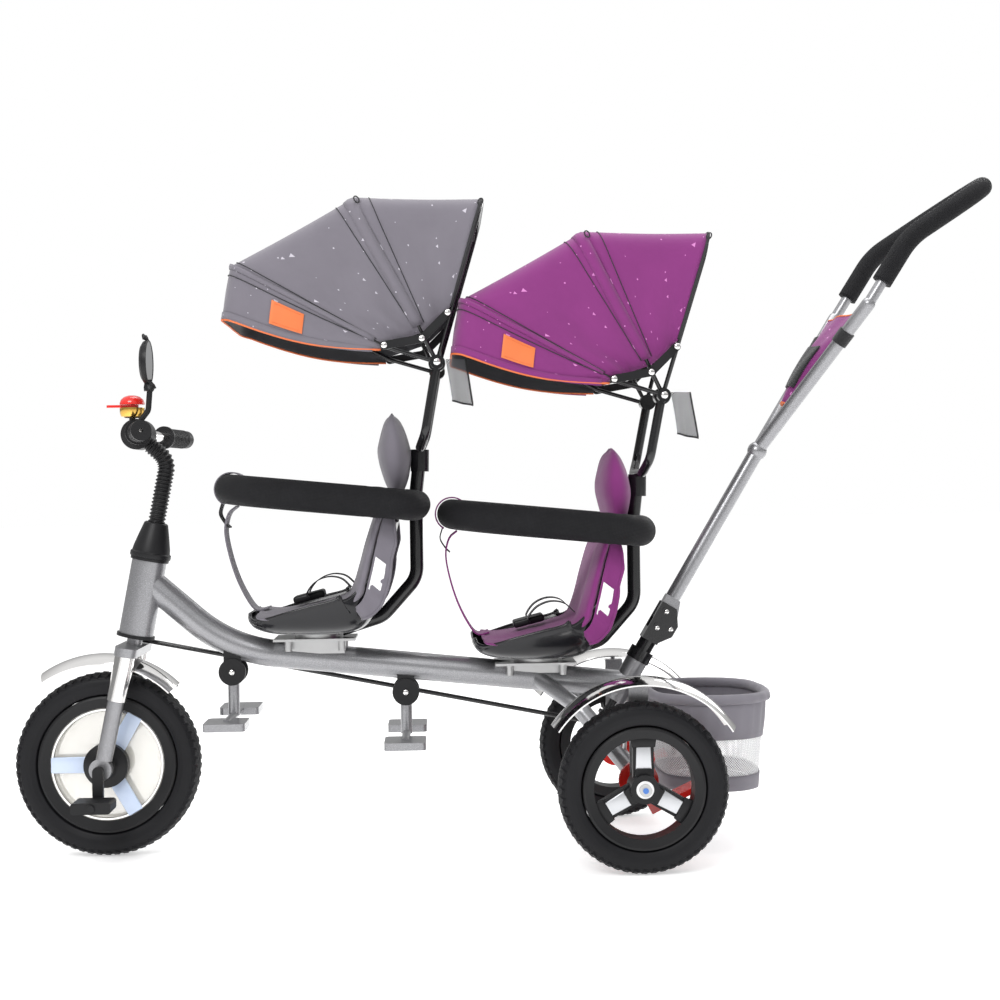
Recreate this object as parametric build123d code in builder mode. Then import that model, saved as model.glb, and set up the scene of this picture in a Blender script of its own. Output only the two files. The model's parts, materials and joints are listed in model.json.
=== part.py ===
from build123d import *
import math
import os

# A children's tandem tricycle: one steered and pedalled front wheel, two seats in line, each with
# its own safety bar and folding canopy, two rear wheels with a basket and a push handle behind.
# Millimetres, +Z up, front towards -X, rider's left towards -Y. The origin is on the ground, under
# the middle of the whole object. "Station" is the distance behind the front axle.

os.makedirs("parts", exist_ok=True)

# ---------------------------------------------------------------- driving dimensions
OVERALL_LENGTH = 1621.0
WHEELBASE = 852.0
REAR_TRACK_HALF = 215.0

RUNNING = 0.05           # radial clearance of a shaft in its bore
SEATED = 0.3             # gap between a piece and the one that carries it

FRONT_TYRE_RADIUS = 150.0
FRONT_TYRE_WIDTH = 50.0
FRONT_RIM_RADIUS = 112.0
FRONT_RIM_INNER = 93.0
FRONT_HUB_RADIUS = 36.0
REAR_TYRE_RADIUS = 131.5
REAR_TYRE_WIDTH = 45.0
REAR_RIM_RADIUS = 94.0
REAR_RIM_INNER = 77.0
REAR_HUB_RADIUS = 22.0

HEAD_TILT = 11.2         # degrees, top leaning back
HEAD_OFFSET = 5.0        # steering axis behind the front axle, at axle height
HEAD_LOW = 215.0         # along the steering axis, from axle height
HEAD_HIGH = 337.5
HEAD_OD = 56.0
HEAD_ID = 50.0
STEERER_OD = 25.4
FORK_HALF = 64.0         # fork leg to centre plane
CROWN_LOW = 184.0
CROWN_HIGH = 198.0
LEG_OD = 26.0
COVER_OD = 32.0
CRANK_OD = 12.0
CRANK_RADIUS = 47.0

MAIN_OD = 45.0
TUBE_WALL = 2.0
SOCKET_OD = 36.0
STRUT_OD = 26.0
AXLE_TUBE_OD = 28.0
AXLE_TUBE_HALF = 175.0
AXLE_OD = 10.0

HANDLE_TILT = 31.0       # degrees, top leaning back
HANDLE_BASE = (848.0, 263.0)
YOKE_SHAFT_OD = 24.9
HINGE_U = 20.7           # hinge pin behind the handle axis
HINGE_V = 118.0          # and along it
HINGE_PIN_OD = 8.0
CHEEK_IN = 13.0
CHEEK_OUT = 18.0
GRIP_OD = 32.0
GRIP_HALF = 108.0

ROD_OD = 7.6
ROD_ACROSS = 34.0

SEAT_STATION = 344.0
SEAT_HEIGHT = 351.0
SEAT_PITCH = 360.0
SEAT_DROP = 46.0
PAN_HALF = 130.0
PAN_WALL = 5.0
CUSHION_HALF = 122.0
POST_OD = 22.0
BAR_OD = 49.0
BAR_HALF = 150.0

HUB_RISE = {"front": 441.0, "rear": 430.0}   # canopy hub above the seat plate
HUB_BACK = 203.0                             # and behind the seat's middle
HUB_PIN_OD = 8.0
HUB_IN = 78.0
HUB_OUT = 96.0
EYE_THICK = 7.2
EYE_GAP = 0.4
BOW_OD = 7.0
FABRIC = 3.0
STAY_IN = 133.5
STAY_THICK = 4.0

FRONT_AXLE_X = FRONT_TYRE_RADIUS - OVERALL_LENGTH / 2


# ---------------------------------------------------------------- places and helpers
def at(station, across, height):
    return Vector(FRONT_AXLE_X + station, across, height)


def side_plane(station=0.0, across=0.0, height=0.0, lean=0.0):
    """Upright lengthwise plane: local x runs back, turned up by lean degrees, normal to -Y."""
    turn = math.radians(lean)
    return Plane(at(station, across, height), x_dir=(math.cos(turn), 0, math.sin(turn)), z_dir=(0, -1, 0))


def wheel_plane(station, across, height):
    """Upright crosswise plane through a wheel's middle: local x is +Y, local y is up."""
    return Plane(at(station, across, height), x_dir=(0, 1, 0), z_dir=(1, 0, 0))


def head_point(along, back=0.0, across=0.0):
    turn = math.radians(HEAD_TILT)
    station = HEAD_OFFSET + along * math.sin(turn) + back * math.cos(turn)
    height = FRONT_TYRE_RADIUS + along * math.cos(turn) - back * math.sin(turn)
    return at(station, across, height)


def head_plane(along):
    turn = math.radians(HEAD_TILT)
    return Plane(head_point(along), x_dir=(math.cos(turn), 0, -math.sin(turn)),
                 z_dir=(math.sin(turn), 0, math.cos(turn)))


def handle_point(along, back=0.0, across=0.0):
    turn = math.radians(HANDLE_TILT)
    station = HANDLE_BASE[0] + along * math.sin(turn) + back * math.cos(turn)
    height = HANDLE_BASE[1] + along * math.cos(turn) - back * math.sin(turn)
    return at(station, across, height)


def handle_side():
    """Side plane of the handle: local x is behind its axis, local y is along it."""
    return side_plane(HANDLE_BASE[0], 0, HANDLE_BASE[1], lean=-HANDLE_TILT)


def rod(start, end, outer, inner=0.0):
    axis = end - start
    with BuildPart() as made:
        with BuildSketch(Plane(start, z_dir=axis)):
            Circle(outer / 2)
            if inner:
                Circle(inner / 2, mode=Mode.SUBTRACT)
        extrude(amount=axis.length)
    return made.part


def cross_rod(station, height, low, high, outer, inner=0.0):
    return rod(at(station, low, height), at(station, high, height), outer, inner)


def tube(points, outer, bend, inner=0.0):
    with BuildPart() as made:
        with BuildLine() as path:
            FilletPolyline(*points, radius=bend)
        route = path.wire()
        with BuildSketch(Plane(route @ 0, z_dir=route % 0)):
            Circle(outer / 2)
            if inner:
                Circle(inner / 2, mode=Mode.SUBTRACT)
        sweep(path=route)
    return made.part


def side_shape(points, low, high, plane=None):
    """A side outline made solid from across=low to across=high, for one side or both."""
    base = plane or side_plane()
    with BuildPart() as made:
        with BuildSketch(base.offset(-high)):
            with BuildLine():
                Polyline(*points, close=True)
            make_face()
        extrude(amount=high - low)
    return made.part


def tyre(station, across, height, radius, width, inner):
    with BuildPart() as made:
        with BuildSketch(wheel_plane(station, across, height)) as section:
            with Locations((0, (radius + inner) / 2)):
                Rectangle(width, radius - inner)
            fillet(section.vertices().group_by(Axis.Y)[-1], min(width * 0.36, (radius - inner) * 0.6))
            fillet(section.vertices().group_by(Axis.Y)[0], min(width, radius - inner) * 0.18)
        revolve(axis=Axis(at(station, across, height), (0, 1, 0)))
    return made.part


def guard(station, across, height, radius, half, drop, wall, start, arc):
    """A domed mudguard: its section turned about the wheel's axis, from its front tip back."""
    turn = math.radians(start)
    plane = Plane(at(station, across, height), x_dir=(0, 1, 0),
                  z_dir=(math.sin(turn), 0, -math.cos(turn)))
    with BuildPart() as made:
        with BuildSketch(plane):
            with BuildLine():
                outer = ThreePointArc((-half, radius - drop), (0, radius), (half, radius - drop))
                inner = ThreePointArc((-half, radius - drop - wall), (0, radius - wall),
                                      (half, radius - drop - wall))
                Line(outer @ 0, inner @ 0)
                Line(outer @ 1, inner @ 1)
            make_face()
        revolve(axis=Axis(at(station, across, height), (0, 1, 0)), revolution_arc=arc)
    return made.part


def finish(part, name):
    part.label = name
    export_step(part, "parts/" + name + ".step")


# ---------------------------------------------------------------- frame
MAIN_ROUTE = [at(66, 0, 450), at(200.4, 0, 332.3), at(HANDLE_BASE[0], 0, HANDLE_BASE[1])]
MAIN_BEND = 245.0
FIRST_RUN = (MAIN_ROUTE[1] - MAIN_ROUTE[0]).normalized()
LAST_RUN = (MAIN_ROUTE[2] - MAIN_ROUTE[1]).normalized()
MAIN_INSIDE = [MAIN_ROUTE[0] + FIRST_RUN * 34, MAIN_ROUTE[1], MAIN_ROUTE[2] - LAST_RUN * 26]
STRUT_BEND = 60.0
SOCKET_LOW = -30.0
SOCKET_HIGH = 46.0
GUARD_RADIUS = 170.0
GUARD_HALF = 36.0
GUARD_WALL = 2.0


def strut_route(side, trim=0.0):
    top = at(705, side * 10, 277)
    knee = at(765, side * 78, 238)
    foot = at(WHEELBASE - 4, side * 125, REAR_TYRE_RADIUS + 4)
    run = (foot - knee).normalized()
    return [top, knee, foot - run * trim]


with BuildPart() as main_frame:
    add(rod(head_point(HEAD_LOW), head_point(HEAD_HIGH), HEAD_OD))
    add(tube(MAIN_ROUTE, MAIN_OD, MAIN_BEND))
    for side in (-1, 1):
        add(tube(strut_route(side), STRUT_OD, STRUT_BEND))
    add(cross_rod(WHEELBASE, REAR_TYRE_RADIUS, -AXLE_TUBE_HALF, AXLE_TUBE_HALF, AXLE_TUBE_OD))
    add(rod(handle_point(SOCKET_LOW), handle_point(SOCKET_HIGH), SOCKET_OD))
    for side in (-1, 1):
        stand = GUARD_RADIUS - GUARD_WALL - SEATED
        across = sorted((side * (AXLE_TUBE_HALF - 4), side * AXLE_TUBE_HALF))
        add(side_shape([(WHEELBASE - 15, REAR_TYRE_RADIUS), (WHEELBASE + 15, REAR_TYRE_RADIUS),
                        (WHEELBASE + 15, REAR_TYRE_RADIUS + stand - 14),
                        (WHEELBASE - 15, REAR_TYRE_RADIUS + stand - 14)], *across))
        across = sorted((side * (AXLE_TUBE_HALF - 4), side * (AXLE_TUBE_HALF + 16)))
        add(side_shape([(WHEELBASE - 15, REAR_TYRE_RADIUS + stand - 17),
                        (WHEELBASE + 15, REAR_TYRE_RADIUS + stand - 17),
                        (WHEELBASE + 15, REAR_TYRE_RADIUS + stand - 13),
                        (WHEELBASE - 15, REAR_TYRE_RADIUS + stand - 13)], *across))
        post = side * (AXLE_TUBE_HALF + 12)
        add(rod(at(WHEELBASE, post, REAR_TYRE_RADIUS + stand - 14),
                at(WHEELBASE, post, REAR_TYRE_RADIUS + stand - 8), 8))
    add(rod(head_point(HEAD_LOW), head_point(HEAD_HIGH), HEAD_ID), mode=Mode.SUBTRACT)
    add(tube(MAIN_INSIDE, MAIN_OD - 2 * TUBE_WALL, MAIN_BEND - 20), mode=Mode.SUBTRACT)
    for side in (-1, 1):
        add(tube(strut_route(side, 22), STRUT_OD - 2 * TUBE_WALL, STRUT_BEND), mode=Mode.SUBTRACT)
    add(cross_rod(WHEELBASE, REAR_TYRE_RADIUS, -AXLE_TUBE_HALF, AXLE_TUBE_HALF, AXLE_OD + 2 * RUNNING),
        mode=Mode.SUBTRACT)
    add(rod(handle_point(SOCKET_LOW), handle_point(SOCKET_HIGH), YOKE_SHAFT_OD + 2 * RUNNING),
        mode=Mode.SUBTRACT)
finish(main_frame.part, "main_frame")

CUP_OD = 62.0
with BuildPart() as head_bearings:
    add(rod(head_point(HEAD_LOW - 5.5), head_point(HEAD_LOW - 0.05), CUP_OD, STEERER_OD + 2 * RUNNING))
    add(rod(head_point(HEAD_LOW - 1), head_point(HEAD_LOW + 10), HEAD_ID - 0.1, STEERER_OD + 2 * RUNNING))
    add(rod(head_point(HEAD_HIGH + 0.05), head_point(HEAD_HIGH + 4.5), CUP_OD, STEERER_OD + 2 * RUNNING))
    add(rod(head_point(HEAD_HIGH - 10), head_point(HEAD_HIGH + 1), HEAD_ID - 0.1,
            STEERER_OD + 2 * RUNNING))
finish(head_bearings.part, "head_bearings")

AXLE_HALF = 249.0
NUT_OD = 19.0
with BuildPart() as rear_axle:
    add(cross_rod(WHEELBASE, REAR_TYRE_RADIUS, -AXLE_HALF, AXLE_HALF, AXLE_OD))
    for side in (-1, 1):
        nut = sorted((side * 241.0, side * (AXLE_HALF - 1)))
        add(cross_rod(WHEELBASE, REAR_TYRE_RADIUS, *nut, NUT_OD))
        collar = sorted((side * (AXLE_TUBE_HALF + SEATED), side * (190.0 - SEATED)))
        add(cross_rod(WHEELBASE, REAR_TYRE_RADIUS, *collar, NUT_OD))
finish(rear_axle.part, "rear_axle")

with BuildPart() as rear_fenders:
    for side in (-1, 1):
        across = side * REAR_TRACK_HALF
        add(guard(WHEELBASE, across, REAR_TYRE_RADIUS, GUARD_RADIUS, GUARD_HALF, 10, GUARD_WALL, 145, 112))
finish(rear_fenders.part, "rear_fenders")

# ---------------------------------------------------------------- basket
BASKET_STATION = 985.0
BASKET_LOW = 82.0
BASKET_HIGH = 252.0
BASKET_TOP = (190.0, 244.0, 85.0)
BASKET_FOOT = (158.0, 212.0, 70.0)
BASKET_WALL = 2.5


def basket_sketch(height, size, inset):
    length, width, corner = size
    with BuildSketch(Plane(at(BASKET_STATION, 0, height))) as outline:
        RectangleRounded(length - 2 * inset, width - 2 * inset, corner - inset)
    return outline.sketch


with BuildPart() as basket_fabric:
    loft([basket_sketch(BASKET_LOW, BASKET_FOOT, 0), basket_sketch(BASKET_HIGH, BASKET_TOP, 0)])
    loft([basket_sketch(BASKET_LOW + BASKET_WALL, BASKET_FOOT, BASKET_WALL),
          basket_sketch(BASKET_HIGH, BASKET_TOP, BASKET_WALL)], mode=Mode.SUBTRACT)
finish(basket_fabric.part, "basket_fabric")

RING_TALL = 7.0
with BuildPart() as basket_frame:
    with BuildSketch(Plane(at(BASKET_STATION, 0, BASKET_HIGH - RING_TALL))):
        RectangleRounded(BASKET_TOP[0] + 7, BASKET_TOP[1] + 7, BASKET_TOP[2] + 3.5)
        RectangleRounded(BASKET_TOP[0] + 2 * SEATED, BASKET_TOP[1] + 2 * SEATED, BASKET_TOP[2] + SEATED,
                         mode=Mode.SUBTRACT)
    extrude(amount=RING_TALL)
    for side in (-1, 1):
        ring_front = BASKET_STATION - BASKET_TOP[0] / 2 - 2.5
        add(tube([at(ring_front, side * 30, BASKET_HIGH - 4), at(ring_front - 26, side * 52, BASKET_HIGH - 8),
                  at(WHEELBASE + 4, side * 60, REAR_TYRE_RADIUS + AXLE_TUBE_OD / 2 + SEATED)], 7, 14))
finish(basket_frame.part, "basket_frame")

# ---------------------------------------------------------------- seats
SEATS = {"front": (SEAT_STATION, SEAT_HEIGHT), "rear": (SEAT_STATION + SEAT_PITCH, SEAT_HEIGHT - SEAT_DROP)}
PLATE_THICK = 4.0
TURNTABLE_TALL = 9.5
POST_ROUTE = [(40, POST_OD / 2 + SEATED), (108, 32), (165, 95), (165, 232), (172, 292)]
POST_BENDS = [40, 45, 60]
PAN_OUTER = [(-101, 44), (-95, 26), (-45, 10), (62, 10), (92, 30), (113, 98), (135, 188), (129, 190),
             (107, 98), (40, 62)]
PAN_CAVITY = [(-96, 60), (-90, 31), (-43, 15), (60, 15), (87, 33), (107, 97), (107, 125), (-96, 125)]
COVER_SIDE = [(-88, 36), (-42, 15.6), (58, 15.6), (85, 34), (105.5, 98), (128, 189), (124, 247),
              (110, 247), (108, 196), (79, 194), (40, 100), (34, 85), (-84, 60)]
PILLOW = (109, 151, 244, 363, 92)
BAR_FRONT = -136.0
BAR_REAR = 164.0
BAR_HEIGHT = 245.0
BAR_SLOPE = -0.1
BAR_END = 46.0


def seat_points(seat, points):
    station, height = SEATS[seat]
    return [(station + along, height + up) for along, up in points]


def seat_post_path(seat):
    return [at(along, 0, up) for along, up in seat_points(seat, POST_ROUTE)]


def main_tube_height(station):
    """Height of the main tube's axis on its long straight run."""
    slope = LAST_RUN.Z / LAST_RUN.X
    return HANDLE_BASE[1] + (station - HANDLE_BASE[0]) * slope


with BuildPart() as seat_mounts:
    for seat in SEATS:
        station, height = SEATS[seat]
        tube_height = main_tube_height(station)
        saddle = [(station - 45, tube_height + 8), (station + 45, tube_height + 8),
                  (station + 45, height - PLATE_THICK), (station - 45, height - PLATE_THICK)]
        add(side_shape(saddle, -21, 21))
        plate = [(station - 69, height - PLATE_THICK), (station + 64, height - PLATE_THICK),
                 (station + 64, height), (station - 69, height)]
        add(side_shape(plate, -45, 45))
        add(rod(at(station, 0, height), at(station, 0, height + TURNTABLE_TALL), 74))
    bore = [MAIN_ROUTE[0] + FIRST_RUN * 34, MAIN_ROUTE[1], MAIN_ROUTE[2] - LAST_RUN]
    add(tube(bore, MAIN_OD + 0.2, MAIN_BEND), mode=Mode.SUBTRACT)
    for seat in SEATS:
        station, height = SEATS[seat]
        for side in (-1, 1):
            for along in (-45, 42):
                knob = at(station + along, side * 38, height - PLATE_THICK)
                add(rod(knob - Vector(0, 0, 16), knob, 12))
finish(seat_mounts.part, "seat_mounts")


def seat_pan(seat):
    with BuildPart() as made:
        add(side_shape(seat_points(seat, PAN_OUTER), -PAN_HALF, PAN_HALF))
        add(side_shape(seat_points(seat, PAN_CAVITY), -PAN_HALF + PAN_WALL, PAN_HALF - PAN_WALL),
            mode=Mode.SUBTRACT)
        add(tube(seat_post_path(seat), POST_OD + 2 * SEATED, POST_BENDS), mode=Mode.SUBTRACT)
    return made.part


def seat_cover(seat):
    low, high, bottom, top, half = PILLOW
    station, height = SEATS[seat]
    with BuildPart() as made:
        add(side_shape(seat_points(seat, COVER_SIDE), -CUSHION_HALF, CUSHION_HALF))
        neck = seat_points(seat, [(100, 194.1), (140, 194.1), (140, 260), (100, 260)])
        for side in (-1, 1):
            add(side_shape(neck, *sorted((side * 50, side * CUSHION_HALF))), mode=Mode.SUBTRACT)
        with BuildSketch(Plane(at(station + low, 0, height + (bottom + top) / 2), z_dir=(1, 0, 0),
                               x_dir=(0, 1, 0))):
            RectangleRounded(2 * half, top - bottom, 45)
        extrude(amount=high - low)
        add(tube(seat_post_path(seat), POST_OD + 3, POST_BENDS), mode=Mode.SUBTRACT)
    return made.part


for seat in SEATS:
    finish(seat_pan(seat), seat + "_seat_pan")
    finish(seat_cover(seat), seat + "_seat_cover")


def bar_height(along):
    return BAR_HEIGHT + BAR_SLOPE * (along - BAR_FRONT)


CLAMP_HALF = BAR_END - SEATED
with BuildPart() as seat_posts:
    for seat in SEATS:
        add(tube(seat_post_path(seat), POST_OD, POST_BENDS, POST_OD - 2 * TUBE_WALL))
finish(seat_posts.part, "seat_posts")

with BuildPart() as bar_clamps:
    for seat in SEATS:
        station, height = SEATS[seat]
        middle = height + bar_height(BAR_REAR)
        clamp = [(station + BAR_REAR - 18, middle - 16), (station + BAR_REAR + 18, middle - 16),
                 (station + BAR_REAR + 18, middle + 16), (station + BAR_REAR - 18, middle + 16)]
        add(side_shape(clamp, -CLAMP_HALF, CLAMP_HALF))
        add(tube(seat_post_path(seat), POST_OD + 0.1, POST_BENDS), mode=Mode.SUBTRACT)
finish(bar_clamps.part, "bar_clamps")


def safety_bar(seat):
    station, height = SEATS[seat]
    front = bar_height(BAR_FRONT)
    rear = bar_height(BAR_REAR)
    route = [(BAR_REAR, -BAR_END, rear), (BAR_REAR, -BAR_HALF, rear), (BAR_FRONT, -BAR_HALF, front),
             (BAR_FRONT, BAR_HALF, front), (BAR_REAR, BAR_HALF, rear), (BAR_REAR, BAR_END, rear)]
    points = [at(station + along, across, height + up) for along, across, up in route]
    return tube(points, BAR_OD, [52, 125, 125, 52])


with BuildPart() as safety_bars:
    for seat in SEATS:
        add(safety_bar(seat))
finish(safety_bars.part, "safety_bars")

STRAP_HALF = 19.0
STRAP_THICK = 3.0
STRAP_LOOP = BAR_OD / 2 + 0.6 + STRAP_THICK / 2
BUCKLE = (44.0, 50.0, 12.0)
with BuildPart() as seat_straps:
    for seat in SEATS:
        station, height = SEATS[seat]
        with BuildSketch(side_plane(station, STRAP_HALF, height)):
            with BuildLine():
                Polyline((-107, 48), (-124, 94), (-138, 136), (-145, 175), (-157, 222))
            trace(line_width=STRAP_THICK)
            with Locations((BAR_FRONT, BAR_HEIGHT)):
                Circle(STRAP_LOOP + STRAP_THICK / 2)
                Circle(STRAP_LOOP - STRAP_THICK / 2, mode=Mode.SUBTRACT)
        extrude(amount=2 * STRAP_HALF)
        cushion = math.degrees(math.atan2(25, 118))
        with BuildSketch(side_plane(station + 12, BUCKLE[1] / 2, height + 80.8 + BUCKLE[2] / 2, cushion)):
            RectangleRounded(BUCKLE[0], BUCKLE[2], 3)
        extrude(amount=BUCKLE[1])
finish(seat_straps.part, "seat_straps")

# ---------------------------------------------------------------- footrests
FOOTRESTS = {"front": (205.0, 297.0, 73.0), "rear": (488.0, 259.0, 70.0)}   # pivot and leg length
FOOT_DISC = 22.0
FOOT_PIN_OD = 8.0
EAR_IN = 13.0
EAR_OUT = 20.0
with BuildPart() as footrest_brackets:
    for rest in FOOTRESTS:
        station, height, leg = FOOTRESTS[rest]
        for side in (-1, 1):
            add(cross_rod(station, height, *sorted((side * EAR_IN, side * EAR_OUT)), 2 * FOOT_DISC))
            web = [(station - 14, height), (station + 14, height), (station + 14, height + 46),
                   (station - 14, height + 46)]
            add(side_shape(web, *sorted((side * EAR_IN, side * (EAR_IN + 4)))))
    bore = [MAIN_ROUTE[0] + FIRST_RUN * 34, MAIN_ROUTE[1], MAIN_ROUTE[2] - LAST_RUN]
    add(tube(bore, MAIN_OD + 0.2, MAIN_BEND), mode=Mode.SUBTRACT)
    for rest in FOOTRESTS:
        station, height, leg = FOOTRESTS[rest]
        add(cross_rod(station, height, -EAR_OUT - 3, EAR_OUT + 3, FOOT_PIN_OD))
finish(footrest_brackets.part, "footrest_brackets")


def footrest(rest):
    station, height, leg = FOOTRESTS[rest]
    with BuildPart() as made:
        add(cross_rod(station, height, -EAR_IN + SEATED, EAR_IN - SEATED, 20))
        add(rod(at(station, 0, height), at(station, 0, height - leg), 19))
        add(cross_rod(station, height - leg, -98, 98, 14))
        for side in (-1, 1):
            pad = [(station - 33, height - leg - 8), (station + 33, height - leg - 8),
                   (station + 33, height - leg + 4), (station - 33, height - leg + 4)]
            add(side_shape(pad, *sorted((side * 60, side * 134))))
        add(cross_rod(station, height, -EAR_IN, EAR_IN, FOOT_PIN_OD + 2 * RUNNING), mode=Mode.SUBTRACT)
        uprights = made.edges().filter_by(Axis.Z).filter_by(lambda edge: edge.length < 13)
        fillet(uprights, 8)
    return made.part


for rest in FOOTRESTS:
    finish(footrest(rest), rest + "_footrest")

# ---------------------------------------------------------------- canopies
REAR_BOW = (73.5, 263.9, 140.0)      # lean in degrees, length, half width
MID_BOW = (116.2, 285.3, 146.0)
STAY_FRONT_PIN = (-82.0, 25.0)
STAY_REAR_PIN = (18.0, 75.0)
STAY_KNEE = (-23.0, 35.0)
VISOR_TOP = (-319.0, 148.0)
KNEE_ACROSS = 123.0
SKIN_KNEE = 127.0
VISOR_FOOT = (-335.0, 76.0)
FRONT_HALF = 150.0
BOW_BEND = 45.0
EYE_OD = 22.0
SKIN_OFF = BOW_OD / 2 + 1.0 + FABRIC
VISOR_OFF = BOW_OD / 2 + 0.3 + FABRIC
SKIN_START = 95.0


def eye_range(layer):
    low = HUB_OUT + EYE_GAP + layer * (EYE_THICK + EYE_GAP)
    return low, low + EYE_THICK


def hub_at(seat, along, up, across=0.0):
    station, height = SEATS[seat]
    return at(station + HUB_BACK + along, across, height + HUB_RISE[seat] + up)


def polar(lean, length):
    turn = math.radians(lean)
    return length * math.cos(turn), length * math.sin(turn)


def cross_at(seat, spot, low, high, outer, inner=0.0):
    return rod(hub_at(seat, *spot, low), hub_at(seat, *spot, high), outer, inner)


def bow(seat, layer, corner, half, knee=None):
    """A hoop of wire, or of tube, from an eye on one hub pin over to the other."""
    low, high = eye_range(layer)
    middle = (low + high) / 2
    scale = 9.0 / math.hypot(*(knee or corner)[:2])
    first = (corner if knee is None else knee[:2])
    start = (first[0] * scale, first[1] * scale)
    half_route = [hub_at(seat, *start, middle)]
    if knee:
        half_route.append(hub_at(seat, knee[0], knee[1], knee[2]))
    half_route.append(hub_at(seat, *corner, half))
    mirrored = [Vector(point.X, -point.Y, point.Z) for point in reversed(half_route)]
    bends = [BOW_BEND, BOW_BEND] if knee is None else [60, BOW_BEND, BOW_BEND, 60]
    with BuildPart() as made:
        add(tube(half_route + mirrored, BOW_OD, bends))
        for side in (-1, 1):
            across = sorted((side * low, side * high))
            add(cross_at(seat, (0, 0), *across, EYE_OD))
            add(cross_at(seat, (0, 0), *across, HUB_PIN_OD + 2 * RUNNING), mode=Mode.SUBTRACT)
    return made.part


def leg_across(layer, half, length, reach):
    """How far out a bow's leg lies at a distance from the hub."""
    low, high = eye_range(layer)
    start = (low + high) / 2
    return start + (half - start) * (reach - 9) / (length - 9)


def sheet_face(seat, start, end, start_half, end_half):
    station, height = SEATS[seat]
    run = (end[0] - start[0], end[1] - start[1])
    length = math.hypot(*run)
    plane = Plane(hub_at(seat, *start), x_dir=(run[0], 0, run[1]), z_dir=(-run[1], 0, run[0]))
    with BuildSketch(plane) as face:
        with BuildLine():
            Polyline((0, -start_half), (length, -end_half), (length, end_half), (0, start_half), close=True)
        make_face()
        fillet(face.vertices().sort_by(lambda vertex: (vertex.center() - hub_at(seat, *start)).dot(
            plane.x_dir))[-2:], BOW_BEND)
    return face.sketch


def along_run(start, end, extra):
    length = math.hypot(end[0] - start[0], end[1] - start[1])
    return (end[0] + (end[0] - start[0]) / length * extra, end[1] + (end[1] - start[1]) / length * extra)


def skin(seat, sections, off=SKIN_OFF):
    """A canopy sheet: the space between outer sections less the space between inner ones."""
    outer = [sheet_face(seat, start, along_run(start, end, off), low + off, high + off)
             for start, end, low, high in sections]
    gap = off - FABRIC
    inner = [sheet_face(seat, along_run(end, start, 20), along_run(start, end, gap), low + gap, high + gap)
             for start, end, low, high in sections]
    with BuildPart() as made:
        loft(outer, ruled=True)
        loft(inner, ruled=True, mode=Mode.SUBTRACT)
    return made.part


def canopy_sections(seat):
    rear_low = leg_across(0, REAR_BOW[2], REAR_BOW[1], SKIN_START)
    mid_low = leg_across(1, MID_BOW[2], MID_BOW[1], SKIN_START)
    rear = (polar(REAR_BOW[0], SKIN_START), polar(*REAR_BOW[:2]), rear_low, REAR_BOW[2])
    mid = (polar(MID_BOW[0], SKIN_START), polar(*MID_BOW[:2]), mid_low, MID_BOW[2])
    visor_low = along_run(VISOR_TOP, STAY_FRONT_PIN, -14)
    front = (visor_low, VISOR_TOP, SKIN_KNEE, FRONT_HALF)
    return rear, mid, front


def canopy_fabric(seat):
    rear, mid, front = canopy_sections(seat)
    with BuildPart() as made:
        add(skin(seat, [rear, mid]))
        add(skin(seat, [mid, front]))
    return made.part


def canopy_visor(seat):
    top_start = along_run(VISOR_TOP, STAY_FRONT_PIN, -16)
    foot_start = along_run(VISOR_FOOT, STAY_FRONT_PIN, -14)
    drop = 1.6
    top = ((top_start[0], top_start[1] - drop), (VISOR_TOP[0] - 1, VISOR_TOP[1] - drop), SKIN_KNEE, FRONT_HALF)
    foot = ((foot_start[0], foot_start[1] - 9), VISOR_FOOT, SKIN_KNEE, FRONT_HALF)
    return skin(seat, [top, foot], VISOR_OFF)


def stay(seat, pin, inner_face):
    """One flat link on each side, from a pin on a bow to the knee."""
    reach = (STAY_KNEE[0] - pin[0], STAY_KNEE[1] - pin[1])
    length = math.hypot(*reach)
    lean = math.degrees(math.atan2(reach[1], reach[0]))
    with BuildPart() as made:
        for side in (-1, 1):
            across = max(side * inner_face, side * (inner_face + STAY_THICK))
            place = hub_at(seat, *pin, across)
            turn = math.radians(lean)
            plane = Plane(place, x_dir=(math.cos(turn), 0, math.sin(turn)), z_dir=(0, -1, 0))
            with BuildSketch(plane):
                with Locations((length / 2, 0)):
                    SlotCenterToCenter(length, 13)
                Circle(3 + RUNNING, mode=Mode.SUBTRACT)
            extrude(amount=STAY_THICK)
    return made.part


def stay_pin(seat, spot, low):
    """A rivet from a bow's leg out through its stay."""
    parts = []
    for side in (-1, 1):
        across = sorted((side * low, side * (STAY_IN + 2 * STAY_THICK + 2.5)))
        parts.append(cross_at(seat, spot, *across, 6))
    return parts


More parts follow.
